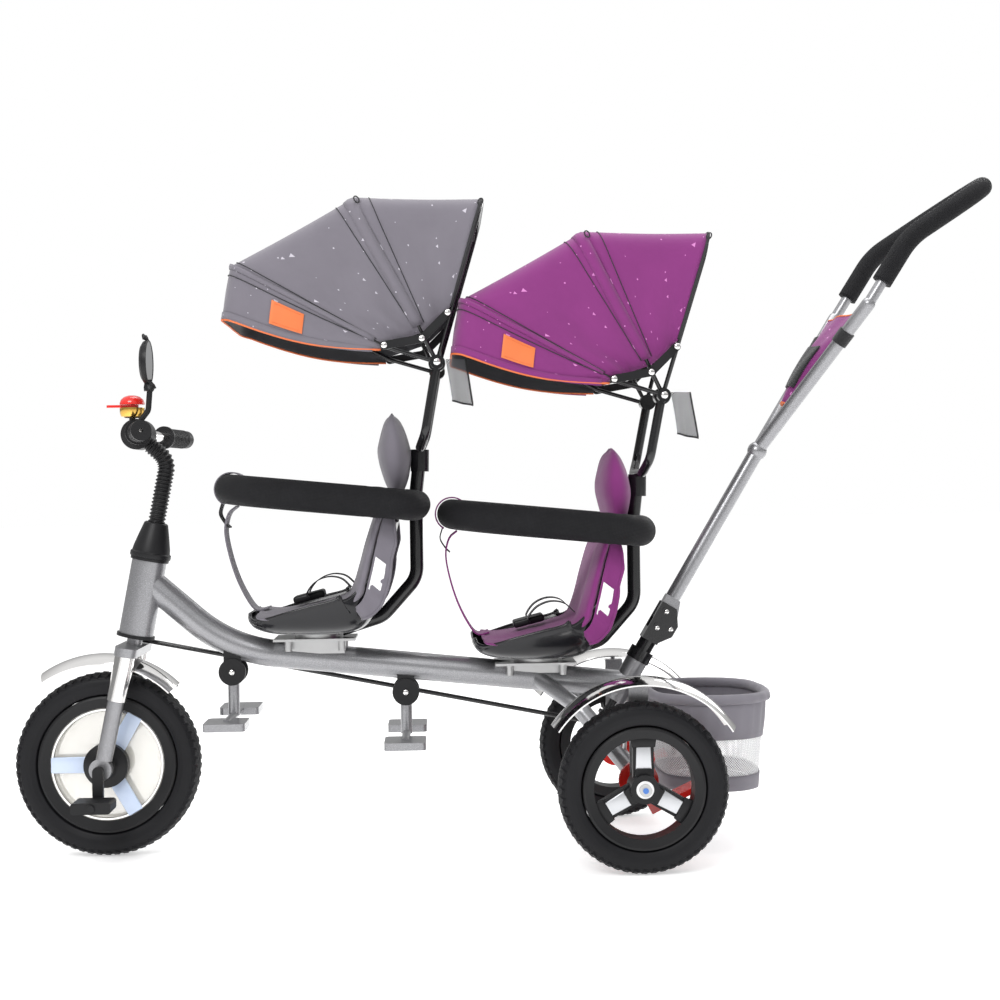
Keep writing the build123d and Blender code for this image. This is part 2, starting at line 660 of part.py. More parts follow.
POST_ACROSS = 88.0
FORK_OD = 15.0
with BuildPart() as canopy_posts:
    for seat in SEATS:
        rise = HUB_RISE[seat]
        half_route = [hub_at(seat, 0, 0, POST_ACROSS), hub_at(seat, -20, 330 - rise, POST_ACROSS),
                      hub_at(seat, -29, 308 - rise, 60)]
        mirrored = [Vector(point.X, -point.Y, point.Z) for point in reversed(half_route)]
        add(tube(half_route + mirrored, FORK_OD, [24, 18, 18, 24]))
        socket = [hub_at(seat, 172 - HUB_BACK, 270 - rise), hub_at(seat, 172.8 - HUB_BACK, 306 - rise)]
        add(rod(*socket, 30))
        for side in (-1, 1):
            add(cross_at(seat, (0, 0), *sorted((side * HUB_IN, side * HUB_OUT)), 27))
            pin = sorted((side * HUB_IN, side * (eye_range(2)[1] + 2.5)))
            add(cross_at(seat, (0, 0), *pin, HUB_PIN_OD))
            head = sorted((side * (eye_range(2)[1] + EYE_GAP), side * (eye_range(2)[1] + 2.5)))
            add(cross_at(seat, (0, 0), *head, 14))
        add(tube(seat_post_path(seat), POST_OD + 0.2, POST_BENDS), mode=Mode.SUBTRACT)
finish(canopy_posts.part, "canopy_posts")

with BuildPart() as canopy_rear_bows:
    for seat in SEATS:
        add(bow(seat, 0, polar(*REAR_BOW[:2]), REAR_BOW[2]))
        for pin in stay_pin(seat, STAY_REAR_PIN, leg_across(0, REAR_BOW[2], REAR_BOW[1], 77)):
            add(pin)
finish(canopy_rear_bows.part, "canopy_rear_bows")

for seat in SEATS:
    finish(bow(seat, 1, polar(*MID_BOW[:2]), MID_BOW[2]), seat + "_canopy_mid_bow")
    knee = (STAY_FRONT_PIN[0], STAY_FRONT_PIN[1], KNEE_ACROSS)
    with BuildPart() as front_bow:
        add(bow(seat, 2, VISOR_TOP, FRONT_HALF, knee))
        for pin in stay_pin(seat, STAY_FRONT_PIN, KNEE_ACROSS - 2):
            add(pin)
    finish(front_bow.part, seat + "_canopy_front_bow")
    finish(canopy_fabric(seat), seat + "_canopy_fabric")
    finish(canopy_visor(seat), seat + "_canopy_visor")
    finish(stay(seat, STAY_REAR_PIN, STAY_IN), seat + "_canopy_stay_rear")
    finish(stay(seat, STAY_FRONT_PIN, STAY_IN + STAY_THICK + 0.6), seat + "_canopy_stay_front")

# ---------------------------------------------------------------- fork and front wheel
DROP_IN = 56.0
DROP_OUT = 72.0
LEG_FOOT = 15.0
with BuildPart() as fork:
    with BuildSketch(head_plane(CROWN_LOW)):
        SlotCenterToCenter(2 * FORK_HALF, 36, rotation=90)
    extrude(amount=CROWN_HIGH - CROWN_LOW)
    add(rod(head_point(CROWN_HIGH), head_point(HEAD_HIGH + 8), STEERER_OD))
    for side in (-1, 1):
        add(rod(head_point(LEG_FOOT, -3, side * FORK_HALF), head_point(CROWN_LOW, 0, side * FORK_HALF), LEG_OD))
        add(cross_rod(0, FRONT_TYRE_RADIUS, *sorted((side * DROP_IN, side * DROP_OUT)), 36))
        add(cross_rod(0, FRONT_TYRE_RADIUS, *sorted((side * (DROP_IN - 9), side * (DROP_OUT + 9))),
                      CRANK_OD + 2 * RUNNING), mode=Mode.SUBTRACT)
    add(rod(head_point(CROWN_HIGH, 0, ROD_ACROSS), head_point(CROWN_HIGH + 10.5, 0, ROD_ACROSS), 6))
finish(fork.part, "fork")

with BuildPart() as fork_covers:
    for side in (-1, 1):
        leg = rod(head_point(LEG_FOOT, -3, side * FORK_HALF), head_point(CROWN_LOW, 0, side * FORK_HALF),
                  LEG_OD + 2 * SEATED)
        add(rod(head_point(112, -1, side * FORK_HALF), head_point(CROWN_LOW - SEATED, 0, side * FORK_HALF),
                COVER_OD))
        add(leg, mode=Mode.SUBTRACT)
finish(fork_covers.part, "fork_covers")

with BuildPart() as front_fender:
    add(guard(-8, 0, 156, 174, 43, 14, 2, 124, 79.5))
    add(rod(head_point(CROWN_LOW - 8), head_point(CROWN_LOW - 0.1), 18))
finish(front_fender.part, "front_fender")

finish(tyre(0, 0, FRONT_TYRE_RADIUS, FRONT_TYRE_RADIUS, FRONT_TYRE_WIDTH, FRONT_RIM_RADIUS), "front_tyre")

RIM_GAP = 0.15
with BuildPart() as front_wheel:
    add(cross_rod(0, FRONT_TYRE_RADIUS, -17, 17, 2 * (FRONT_RIM_RADIUS - RIM_GAP), 2 * FRONT_RIM_INNER))
    add(cross_rod(0, FRONT_TYRE_RADIUS, -30, 30, 2 * FRONT_HUB_RADIUS))
    add(cross_rod(0, FRONT_TYRE_RADIUS, -DROP_IN + SEATED, DROP_IN - SEATED, 22))
    for index in range(3):
        turn = math.radians(60 + 120 * index)
        outward = Vector(math.cos(turn), 0, math.sin(turn))
        centre = at(0, 0, FRONT_TYRE_RADIUS)
        add(rod(centre + outward * 30, centre + outward * (FRONT_RIM_INNER + 2), 9))
    add(cross_rod(0, FRONT_TYRE_RADIUS, -DROP_IN, DROP_IN, CRANK_OD + 2 * RUNNING), mode=Mode.SUBTRACT)
finish(front_wheel.part, "front_wheel")

DISC_OFF = 11.0
with BuildPart() as front_discs:
    for side in (-1, 1):
        face = sorted((side * DISC_OFF, side * (DISC_OFF + 3)))
        add(cross_rod(0, FRONT_TYRE_RADIUS, *face, 2 * (FRONT_RIM_INNER - 0.2), 2 * (FRONT_HUB_RADIUS + 0.2)))
finish(front_discs.part, "front_discs")

ARM_IN = 84.0
ARM_OUT = 92.0
PEDAL_PIN_OD = 8.0
PEDAL_IN = 101.0
PEDAL_OUT = 147.0
with BuildPart() as crankshaft:
    add(cross_rod(0, FRONT_TYRE_RADIUS, -ARM_OUT, ARM_OUT, CRANK_OD))
    for side in (-1, 1):
        reach = FRONT_TYRE_RADIUS + side * CRANK_RADIUS
        across = sorted((side * ARM_IN, side * ARM_OUT))
        with BuildSketch(side_plane(0, across[1], FRONT_TYRE_RADIUS + side * CRANK_RADIUS / 2, 90)):
            SlotCenterToCenter(CRANK_RADIUS, 17)
        extrude(amount=ARM_OUT - ARM_IN)
        add(cross_rod(0, reach, *sorted((side * ARM_OUT, side * (PEDAL_OUT + 3))), PEDAL_PIN_OD))
        add(cross_rod(0, reach, *sorted((side * (PEDAL_OUT + 0.4), side * (PEDAL_OUT + 3))), 13))
finish(crankshaft.part, "crankshaft")


def pedal(side):
    reach = FRONT_TYRE_RADIUS + side * CRANK_RADIUS
    across = sorted((side * PEDAL_IN, side * PEDAL_OUT))
    with BuildPart() as made:
        with BuildSketch(side_plane(0, across[1], reach)):
            RectangleRounded(62, 18, 5)
        extrude(amount=PEDAL_OUT - PEDAL_IN)
        add(cross_rod(0, reach, *across, PEDAL_PIN_OD + 2 * RUNNING), mode=Mode.SUBTRACT)
    return made.part


finish(pedal(-1), "pedal_left")
finish(pedal(1), "pedal_right")

# ---------------------------------------------------------------- steering stem and handlebar
BAR_TUBE_OD = 19.0
CLAMP_SPOT = (56.0, 688.0)
NECK = 504.5
GRIP_END = (98.0, 205.0, 686.0)
STEM_ROUTE = [head_point(HEAD_HIGH + 8.3), head_point(NECK), at(CLAMP_SPOT[0], 0, CLAMP_SPOT[1])]
STEM_OD = 22.0
with BuildPart() as steering_stem:
    add(tube(STEM_ROUTE, STEM_OD, 32))
    add(cross_rod(*CLAMP_SPOT, -23, 23, 50))
    add(cross_rod(*CLAMP_SPOT, -23, 23, BAR_TUBE_OD + 0.2), mode=Mode.SUBTRACT)
finish(steering_stem.part, "steering_stem")

COVER_TOP = 400.0
HOSE_BACK = (CLAMP_SPOT[0] - STEM_ROUTE[1].X + FRONT_AXLE_X, CLAMP_SPOT[1] - STEM_ROUTE[1].Z)
HOSE_TRIM = 1 - 27.0 / math.hypot(*HOSE_BACK)
HOSE_END = STEM_ROUTE[1] + Vector(HOSE_BACK[0] * HOSE_TRIM, 0, HOSE_BACK[1] * HOSE_TRIM)
with BuildPart() as stem_covers:
    add(tube([head_point(COVER_TOP + SEATED), STEM_ROUTE[1], HOSE_END], 28.5, 32, STEM_OD + 2 * SEATED))
    with BuildSketch(head_plane(HEAD_HIGH + 5)):
        Circle(33)
    with BuildSketch(head_plane(COVER_TOP)):
        Circle(19)
    loft()
    with BuildSketch(head_plane(HEAD_HIGH + 5)):
        Circle(30)
    with BuildSketch(head_plane(COVER_TOP - 3)):
        Circle(16)
    loft(mode=Mode.SUBTRACT)
    add(rod(head_point(COVER_TOP - 4), head_point(COVER_TOP), STEM_OD + 2 * SEATED), mode=Mode.SUBTRACT)
finish(stem_covers.part, "stem_covers")


def bar_point(across, raise_by=0.0):
    """A point on the handlebar's swept-back part."""
    share = (abs(across) - 35) / (GRIP_END[1] - 35)
    station = CLAMP_SPOT[0] + (GRIP_END[0] - CLAMP_SPOT[0]) * share
    height = CLAMP_SPOT[1] + (GRIP_END[2] - CLAMP_SPOT[1]) * share
    return at(station, across, height + raise_by)


with BuildPart() as handlebar:
    add(tube([bar_point(-GRIP_END[1]), at(CLAMP_SPOT[0], -35, CLAMP_SPOT[1]),
              at(CLAMP_SPOT[0], 35, CLAMP_SPOT[1]), bar_point(GRIP_END[1])], BAR_TUBE_OD, 40,
             BAR_TUBE_OD - 2 * TUBE_WALL))
finish(handlebar.part, "handlebar")

HANDGRIP_OD = 31.0
HANDGRIP_LONG = 90.0
END_WALL = 5.0
PLUG_HOLE = 6.0
with BuildPart() as grips:
    for side in (-1, 1):
        tip = bar_point(side * GRIP_END[1])
        outward = (tip - at(CLAMP_SPOT[0], side * 35, CLAMP_SPOT[1])).normalized()
        inner_end = tip - outward * HANDGRIP_LONG
        add(rod(inner_end, tip + outward * END_WALL, HANDGRIP_OD))
        add(rod(inner_end, inner_end + outward * 5, HANDGRIP_OD + 8))
        add(rod(inner_end, tip, BAR_TUBE_OD + 0.2), mode=Mode.SUBTRACT)
        add(rod(tip - outward, tip + outward * END_WALL, PLUG_HOLE), mode=Mode.SUBTRACT)
finish(grips.part, "grips")

BELL_ACROSS = -70.0
BELL_OD = 39.0
BELL_LOW = 712.0
LEVER_LOW = 728.5
LEVER_HIGH = 732.5
BELL_TOP = 748.0
BELL_POST_OD = 8.0
bell_spot = bar_point(BELL_ACROSS)
bar_run = (bar_point(-100) - bar_point(-60)).normalized()
BELL_STATION = bell_spot.X - FRONT_AXLE_X - 5
with BuildPart() as bell:
    add(rod(bell_spot - bar_run * 6, bell_spot + bar_run * 6, 28))
    add(rod(at(BELL_STATION, BELL_ACROSS, 699), at(BELL_STATION, BELL_ACROSS, BELL_LOW), 10))
    add(rod(at(BELL_STATION, BELL_ACROSS, BELL_LOW), at(BELL_STATION, BELL_ACROSS, LEVER_LOW - SEATED),
            BELL_OD))
    add(rod(at(BELL_STATION, BELL_ACROSS, LEVER_LOW - 2), at(BELL_STATION, BELL_ACROSS, LEVER_HIGH + 2),
            BELL_POST_OD))
    with BuildSketch(Plane(at(BELL_STATION, BELL_ACROSS, LEVER_HIGH + SEATED))):
        Circle(BELL_OD / 2)
    extrude(amount=BELL_TOP - LEVER_HIGH - SEATED)
    fillet(bell.edges().group_by(Axis.Z)[-1], (BELL_TOP - LEVER_HIGH) * 0.8)
    add(rod(bell_spot - bar_run * 7, bell_spot + bar_run * 7, BAR_TUBE_OD + 0.2), mode=Mode.SUBTRACT)
finish(bell.part, "bell")

with BuildPart() as bell_lever:
    with BuildSketch(Plane(at(BELL_STATION, BELL_ACROSS, LEVER_LOW))):
        Circle(10)
        with Locations((-18, 0)):
            SlotCenterToCenter(36, 9)
        Circle(BELL_POST_OD / 2 + RUNNING, mode=Mode.SUBTRACT)
    extrude(amount=LEVER_HIGH - LEVER_LOW)
finish(bell_lever.part, "bell_lever")

MIRROR_ACROSS = -97.0
MIRROR_BALL = (93.0, 757.0)
BALL_RADIUS = 7.0
MIRROR_RADIUS = 35.0
mirror_spot = bar_point(MIRROR_ACROSS)
with BuildPart() as mirror_arm:
    add(rod(mirror_spot - bar_run * 7, mirror_spot + bar_run * 7, 28))
    add(tube([mirror_spot + Vector(0, 0, 11), at(90, MIRROR_ACROSS, 722),
              at(MIRROR_BALL[0], MIRROR_ACROSS, MIRROR_BALL[1])], 9, 14))
    with Locations(at(MIRROR_BALL[0], MIRROR_ACROSS, MIRROR_BALL[1])):
        Sphere(BALL_RADIUS)
    add(rod(mirror_spot - bar_run * 8, mirror_spot + bar_run * 8, BAR_TUBE_OD + 0.2), mode=Mode.SUBTRACT)
finish(mirror_arm.part, "mirror_arm")

MIRROR_MIDDLE = (88.0, 798.0)
with BuildPart() as mirror_head:
    add(rod(at(MIRROR_MIDDLE[0] - 9, MIRROR_ACROSS, MIRROR_MIDDLE[1]),
            at(MIRROR_MIDDLE[0] + 5, MIRROR_ACROSS, MIRROR_MIDDLE[1]), 2 * MIRROR_RADIUS))
    add(rod(at(MIRROR_BALL[0], MIRROR_ACROSS, MIRROR_BALL[1] + 1),
            at(MIRROR_BALL[0] - 3, MIRROR_ACROSS, MIRROR_MIDDLE[1] - 28), 20))
    with Locations(at(MIRROR_BALL[0], MIRROR_ACROSS, MIRROR_BALL[1])):
        Sphere(BALL_RADIUS + RUNNING, mode=Mode.SUBTRACT)
finish(mirror_head.part, "mirror_head")

# ---------------------------------------------------------------- steering rod
ROD_LEVEL = CROWN_HIGH + 5.0
EYE_TALL = 5.0
FRONT_EYE_OD = 17.0
REAR_EYE_OD = 26.0
REAR_EYE_ID = 15.0
ARM_ALONG = -62.0
ROD_END_ALONG = -80.0
rod_front = head_point(ROD_LEVEL, 0, ROD_ACROSS)
rod_rear = handle_point(ROD_END_ALONG, 0, ROD_ACROSS)
rod_run = (rod_rear - rod_front).normalized()
head_up = (head_point(1) - head_point(0)).normalized()
handle_up = (handle_point(1) - handle_point(0)).normalized()
with BuildPart() as steering_rod:
    add(rod(rod_front + rod_run * 6, rod_rear - rod_run * (REAR_EYE_OD / 2 - 4), ROD_OD))
    add(rod(rod_front - head_up * EYE_TALL / 2, rod_front + head_up * EYE_TALL / 2, FRONT_EYE_OD))
    add(rod(rod_front - head_up * 9, rod_front + head_up * 9, 6 + 2 * RUNNING), mode=Mode.SUBTRACT)
    add(rod(rod_rear - handle_up * 9, rod_rear + handle_up * 9, REAR_EYE_OD + 0.1), mode=Mode.SUBTRACT)
finish(steering_rod.part, "steering_rod")

finish(rod(rod_rear - handle_up * EYE_TALL / 2, rod_rear + handle_up * EYE_TALL / 2, REAR_EYE_OD, REAR_EYE_ID),
       "steering_rod_eye")

# ---------------------------------------------------------------- rear wheels and brake
HUB_FACE_IN = 190.0
HUB_FACE_OUT = 240.5
for side, name in ((-1, "left"), (1, "right")):
    across = side * REAR_TRACK_HALF
    finish(tyre(WHEELBASE, across, REAR_TYRE_RADIUS, REAR_TYRE_RADIUS, REAR_TYRE_WIDTH, REAR_RIM_RADIUS),
           "rear_tyre_" + name)
    with BuildPart() as rear_wheel:
        rim = sorted((across - 18, across + 18))
        add(cross_rod(WHEELBASE, REAR_TYRE_RADIUS, *rim, 2 * (REAR_RIM_RADIUS - RIM_GAP),
                      2 * REAR_RIM_INNER))
        hub = sorted((side * HUB_FACE_IN, side * HUB_FACE_OUT))
        add(cross_rod(WHEELBASE, REAR_TYRE_RADIUS, *hub, 2 * REAR_HUB_RADIUS))
        for index in range(3):
            with BuildSketch(side_plane(WHEELBASE, across + 8, REAR_TYRE_RADIUS, 90 + 120 * index)):
                with Locations((REAR_RIM_INNER / 2 + 8, 0)):
                    Rectangle(REAR_RIM_INNER - 14, 32)
            extrude(amount=16)
        add(cross_rod(WHEELBASE, REAR_TYRE_RADIUS, *hub, AXLE_OD + 2 * RUNNING), mode=Mode.SUBTRACT)
    finish(rear_wheel.part, "rear_wheel_" + name)

BRAKE_IN = 155.0
BRAKE_OUT = 165.0
PAD_SIDE = [(858, 106), (870, 83), (942, 118), (939, 126), (876, 97), (870, 112)]
with BuildPart() as brake_pedal:
    for side in (-1, 1):
        plate = sorted((side * BRAKE_IN, side * BRAKE_OUT))
        add(cross_rod(WHEELBASE, REAR_TYRE_RADIUS, *plate, 62))
        add(side_shape(PAD_SIDE, *sorted((side * 138, side * 186))))
    add(cross_rod(WHEELBASE + 4, REAR_TYRE_RADIUS - 25, -BRAKE_OUT, BRAKE_OUT, 8))
    for side in (-1, 1):
        plate = sorted((side * (BRAKE_IN - 20), side * (BRAKE_OUT + 25)))
        add(cross_rod(WHEELBASE, REAR_TYRE_RADIUS, *plate, AXLE_TUBE_OD + 2 * RUNNING), mode=Mode.SUBTRACT)
finish(brake_pedal.part, "brake_pedal")

# ---------------------------------------------------------------- push handle
NECK_TUBE_OD = 28.0
with BuildPart() as handle_yoke:
    add(rod(handle_point(SOCKET_LOW + 1), handle_point(SOCKET_HIGH + 4), YOKE_SHAFT_OD))
    add(rod(handle_point(ARM_ALONG), handle_point(SOCKET_LOW + 2), 14))
    add(rod(handle_point(SOCKET_HIGH + SEATED), handle_point(92), NECK_TUBE_OD))
    add(rod(handle_point(SOCKET_HIGH + SEATED), handle_point(SOCKET_HIGH + 20), 40))
    with BuildSketch(Plane(handle_point(ARM_ALONG, 0, ROD_ACROSS / 2), x_dir=(0, 1, 0), z_dir=handle_up)):
        SlotCenterToCenter(ROD_ACROSS, 16)
    extrude(amount=6)
    add(rod(handle_point(-98, 0, ROD_ACROSS), handle_point(ARM_ALONG, 0, ROD_ACROSS), 6))
    add(side_shape([(-14, 84), (14, 84), (14, 104), (-14, 104)], -CHEEK_OUT, CHEEK_OUT, handle_side()))
    for side in (-1, 1):
        cheek = [(-14, 88), (14, 88), (29, 108), (29, 128), (13, 152), (-14, 152)]
        add(side_shape(cheek, *sorted((side * CHEEK_IN, side * CHEEK_OUT)), handle_side()))
    add(rod(handle_point(HINGE_V, HINGE_U, -CHEEK_OUT - 2), handle_point(HINGE_V, HINGE_U, CHEEK_OUT + 2),
            HINGE_PIN_OD))
    for along in (112, 141.5):
        for side in (-1, 1):
            rivet = sorted((side * CHEEK_OUT, side * (CHEEK_OUT + 2)))
            add(rod(handle_point(along, -3, rivet[0]), handle_point(along, -3, rivet[1]), 9))
finish(handle_yoke.part, "handle_yoke")

FITTING_HALF = CHEEK_IN - 0.5
JUNCTION = at(1078, 0, 647)
GRIP_CORNER = at(1307, GRIP_HALF, 984)
MAST_OD = 25.0
LEG_TUBE_OD = 22.0
UPPER_OD = 18.0


def grip_run():
    return (GRIP_CORNER - foam_start(1)).normalized()


def step_point(side):
    return foam_start(side) - grip_run() * 41


def foam_start(side):
    return at(1261, side * GRIP_HALF, 912)


with BuildPart() as handle_tubes:
    fitting = [(-12, 122.5), (10, 122.5), (24, 119), (27, 126), (12.5, 166), (-12.5, 166)]
    add(side_shape(fitting, -FITTING_HALF, FITTING_HALF, handle_side()))
    add(rod(handle_point(HINGE_V, HINGE_U, -FITTING_HALF), handle_point(HINGE_V, HINGE_U, FITTING_HALF), 15))
    add(rod(handle_point(165.5), JUNCTION, MAST_OD))
    with Locations(JUNCTION):
        Sphere(16)
    for side in (-1, 1):
        add(rod(JUNCTION, step_point(side), LEG_TUBE_OD))
        add(rod(step_point(side), foam_start(side), UPPER_OD))
        with Locations(step_point(side)):
            Sphere(LEG_TUBE_OD / 2)
    add(rod(handle_point(HINGE_V, HINGE_U, -CHEEK_IN), handle_point(HINGE_V, HINGE_U, CHEEK_IN),
            HINGE_PIN_OD + 2 * RUNNING), mode=Mode.SUBTRACT)
finish(handle_tubes.part, "handle_tubes")

GRIP_TIP = (OVERALL_LENGTH - FRONT_TYRE_RADIUS - GRIP_OD / 2, 1080.0)
with BuildPart() as handle_grip:
    half_route = [foam_start(-1) + grip_run() * SEATED, Vector(GRIP_CORNER.X, -GRIP_HALF, GRIP_CORNER.Z),
                  at(GRIP_TIP[0], -GRIP_HALF, GRIP_TIP[1])]
    mirrored = [Vector(point.X, -point.Y, point.Z) for point in reversed(half_route)]
    add(tube(half_route + mirrored, GRIP_OD, [120, 104, 104, 120]))
finish(handle_grip.part, "handle_grip")

BAG_LOW = 95.0
BAG_HIGH = 255.0
BAG_THICK = 34.0
leg_run = (step_point(1) - JUNCTION)
leg_run_side = Vector(leg_run.X, 0, leg_run.Z).normalized()
bag_face = Vector(leg_run_side.Z, 0, -leg_run_side.X)
leg_long = math.hypot(leg_run.X, leg_run.Z)


def bag_half(along):
    return leg_run.Y * along / leg_long - LEG_TUBE_OD / 2 - 4


with BuildPart() as handle_bag:
    with BuildSketch(Plane(JUNCTION - bag_face * BAG_THICK / 2, x_dir=(0, 1, 0), z_dir=bag_face)) as outline:
        with BuildLine():
            sign = 1 if Plane(JUNCTION, x_dir=(0, 1, 0), z_dir=bag_face).y_dir.Z > 0 else -1
            Polyline((-bag_half(BAG_LOW), sign * BAG_LOW), (-bag_half(BAG_HIGH), sign * BAG_HIGH),
                     (bag_half(BAG_HIGH), sign * BAG_HIGH), (bag_half(BAG_LOW), sign * BAG_LOW), close=True)
        make_face()
        fillet(outline.vertices(), 8)
    extrude(amount=BAG_THICK)
finish(handle_bag.part, "handle_bag")
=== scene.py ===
# %% [markdown]
# # A two-seat tandem tricycle
# The moving frame comes from the imported CAD model: every tube, wheel, hinge and bracket is already in its
# true place, in metres, with +X to the rear, +Y to the rider's right and +Z up. This lesson dresses it:
# paint, chrome, rubber, cloth, foam, straps and netting. Cloth is built as curved sheets, because a
# canopy stretched over bows has a shape that is set by its bows.
# %% Load the frame
import bpy
import bmesh
import math
import json
from mathutils import Vector, Matrix, noise

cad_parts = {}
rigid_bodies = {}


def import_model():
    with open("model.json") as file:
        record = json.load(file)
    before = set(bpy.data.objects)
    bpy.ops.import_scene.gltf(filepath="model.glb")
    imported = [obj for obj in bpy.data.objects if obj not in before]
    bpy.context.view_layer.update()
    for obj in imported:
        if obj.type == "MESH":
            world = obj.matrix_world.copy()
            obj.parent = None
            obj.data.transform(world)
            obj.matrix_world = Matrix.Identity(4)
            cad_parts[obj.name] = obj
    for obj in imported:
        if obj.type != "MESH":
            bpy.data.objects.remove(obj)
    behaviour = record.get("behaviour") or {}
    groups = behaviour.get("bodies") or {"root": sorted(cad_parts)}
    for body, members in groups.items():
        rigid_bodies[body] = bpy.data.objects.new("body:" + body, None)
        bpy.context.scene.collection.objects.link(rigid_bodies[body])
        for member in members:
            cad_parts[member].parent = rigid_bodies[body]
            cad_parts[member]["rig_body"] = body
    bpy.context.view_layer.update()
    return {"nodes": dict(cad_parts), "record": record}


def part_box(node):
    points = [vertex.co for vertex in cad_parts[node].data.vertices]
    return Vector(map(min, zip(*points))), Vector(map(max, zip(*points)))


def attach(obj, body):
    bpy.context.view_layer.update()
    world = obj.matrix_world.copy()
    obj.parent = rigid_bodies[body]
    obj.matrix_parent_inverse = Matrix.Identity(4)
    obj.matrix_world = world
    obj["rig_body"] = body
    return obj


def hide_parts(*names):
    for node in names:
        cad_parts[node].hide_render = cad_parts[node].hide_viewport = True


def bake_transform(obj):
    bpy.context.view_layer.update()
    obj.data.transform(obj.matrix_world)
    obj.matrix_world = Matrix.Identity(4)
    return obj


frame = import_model()

# %% [markdown]
# The camera stands level with the canopies, a little over two and a half metres from the near side. Its
# direction is written as three unit vectors, which avoids guessing Euler angles.
# %% Camera
YAW, PITCH, ROLL = 0.0386, 0.0046, -0.0148
looking = Vector((math.sin(YAW) * math.cos(PITCH), math.cos(YAW) * math.cos(PITCH), -math.sin(PITCH)))
right = Vector((math.cos(YAW), -math.sin(YAW), 0))
up = right.cross(looking)
right, up = right * math.cos(ROLL) + up * math.sin(ROLL), up * math.cos(ROLL) - right * math.sin(ROLL)
camera_data = bpy.data.cameras.new("camera")
camera_data.lens = 56.71
camera_data.sensor_width = 36
camera_data.clip_end = 50
camera = bpy.data.objects.new("camera", camera_data)
bpy.context.scene.collection.objects.link(camera)
camera.matrix_world = Matrix.Translation((-0.1131, -2.60803, 0.58379)) @ Matrix(
    (right, up, -looking)).transposed().to_4x4()
bpy.context.scene.camera = camera
print("camera looks along", [round(v, 3) for v in looking])

# %% [markdown]
# A product studio is a white sweep with large soft lights: one wide panel above, one in front on the side
# of the camera, and a weaker one from behind to draw bright lines along the tubes.
# %% Floor and lights
def clear_selection():
    if bpy.context.object and bpy.context.object.mode != "OBJECT":
        bpy.ops.object.mode_set(mode="OBJECT")
    bpy.ops.object.select_all(action="DESELECT")


def new_material(name):
    made = bpy.data.materials.new(name)
    made.use_nodes = True
    return made, made.node_tree, made.node_tree.nodes["Principled BSDF"]


clear_selection()
bpy.ops.mesh.primitive_plane_add(size=60, location=(0, 0, 0))
floor = bpy.context.object
floor.name = "studio_floor"
floor_paint, tree, shader = new_material("studio_white")
shader.inputs["Base Color"].default_value = (0.93, 0.93, 0.93, 1)
shader.inputs["Roughness"].default_value = 0.32
shader.inputs["Specular IOR Level"].default_value = 0.25
shader.inputs["Emission Color"].default_value = (1, 1, 1, 1)
shader.inputs["Emission Strength"].default_value = 0.46
floor.data.materials.append(floor_paint)

world = bpy.data.worlds.new("studio_air")
world.use_nodes = True
world.node_tree.nodes["Background"].inputs["Color"].default_value = (1, 1, 1, 1)
seen = world.node_tree.nodes.new("ShaderNodeLightPath")
toward_sky = world.node_tree.nodes.new("ShaderNodeTexCoord")
part = world.node_tree.nodes.new("ShaderNodeSeparateXYZ")
height_level = world.node_tree.nodes.new("ShaderNodeMapRange")
height_level.inputs["From Min"].default_value = 0.05
height_level.inputs["From Max"].default_value = 0.75
height_level.inputs["To Min"].default_value = 0.30
height_level.inputs["To Max"].default_value = 0.95
level = world.node_tree.nodes.new("ShaderNodeMapRange")
level.inputs["To Max"].default_value = 1.0
world.node_tree.links.new(toward_sky.outputs["Generated"], part.inputs[0])
world.node_tree.links.new(part.outputs["Z"], height_level.inputs["Value"])
world.node_tree.links.new(height_level.outputs["Result"], level.inputs["To Min"])
world.node_tree.links.new(seen.outputs["Is Camera Ray"], level.inputs["Value"])
world.node_tree.links.new(level.outputs["Result"], world.node_tree.nodes["Background"].inputs["Strength"])
bpy.context.scene.world = world
bpy.context.scene.view_settings.view_transform = "Standard"


def panel_light(name, place, target, width, height, power):
    data = bpy.data.lights.new(name, "AREA")
    data.shape = "RECTANGLE"
    data.size = width
    data.size_y = height
    data.energy = power
    made = bpy.data.objects.new(name, data)
    bpy.context.scene.collection.objects.link(made)
    made.location = place
    made.rotation_euler = (Vector(target) - Vector(place)).to_track_quat("-Z", "Y").to_euler()
    return made


panel_light("key_panel", (-1.2, -2.6, 2.6), (0, 0, 0.5), 1.6, 1.2, 66)
panel_light("top_panel", (0.2, 0.3, 3.0), (0, 0, 0.4), 2.4, 1.4, 38)
panel_light("rim_panel", (1.6, 2.2, 1.8), (0, 0, 0.6), 1.2, 1.6, 24)

# %% [markdown]
# Lengths are easier to read in millimetres from the front axle. `st` turns such a station, a distance to
# the right and a height into a point of the shared frame.
# %% Places
FRONT_AXLE = -0.6605
SEATS = {"front": (344.0, 351.0, 441.0), "rear": (704.0, 305.0, 430.0)}
HUB_BACK = 203.0


def st(station, across, height):
    return Vector((FRONT_AXLE + station / 1000, across / 1000, height / 1000))


def hub(seat, along, rise, across):
    station, height, hub_rise = SEATS[seat]
    return st(station + HUB_BACK + along, across, height + hub_rise + rise)


def on_seat(seat, along, across, rise):
    station, height, hub_rise = SEATS[seat]
    return st(station + along, across, height + rise)


print("front canopy hub at", [round(v, 3) for v in hub("front", 0, 0, 0)])

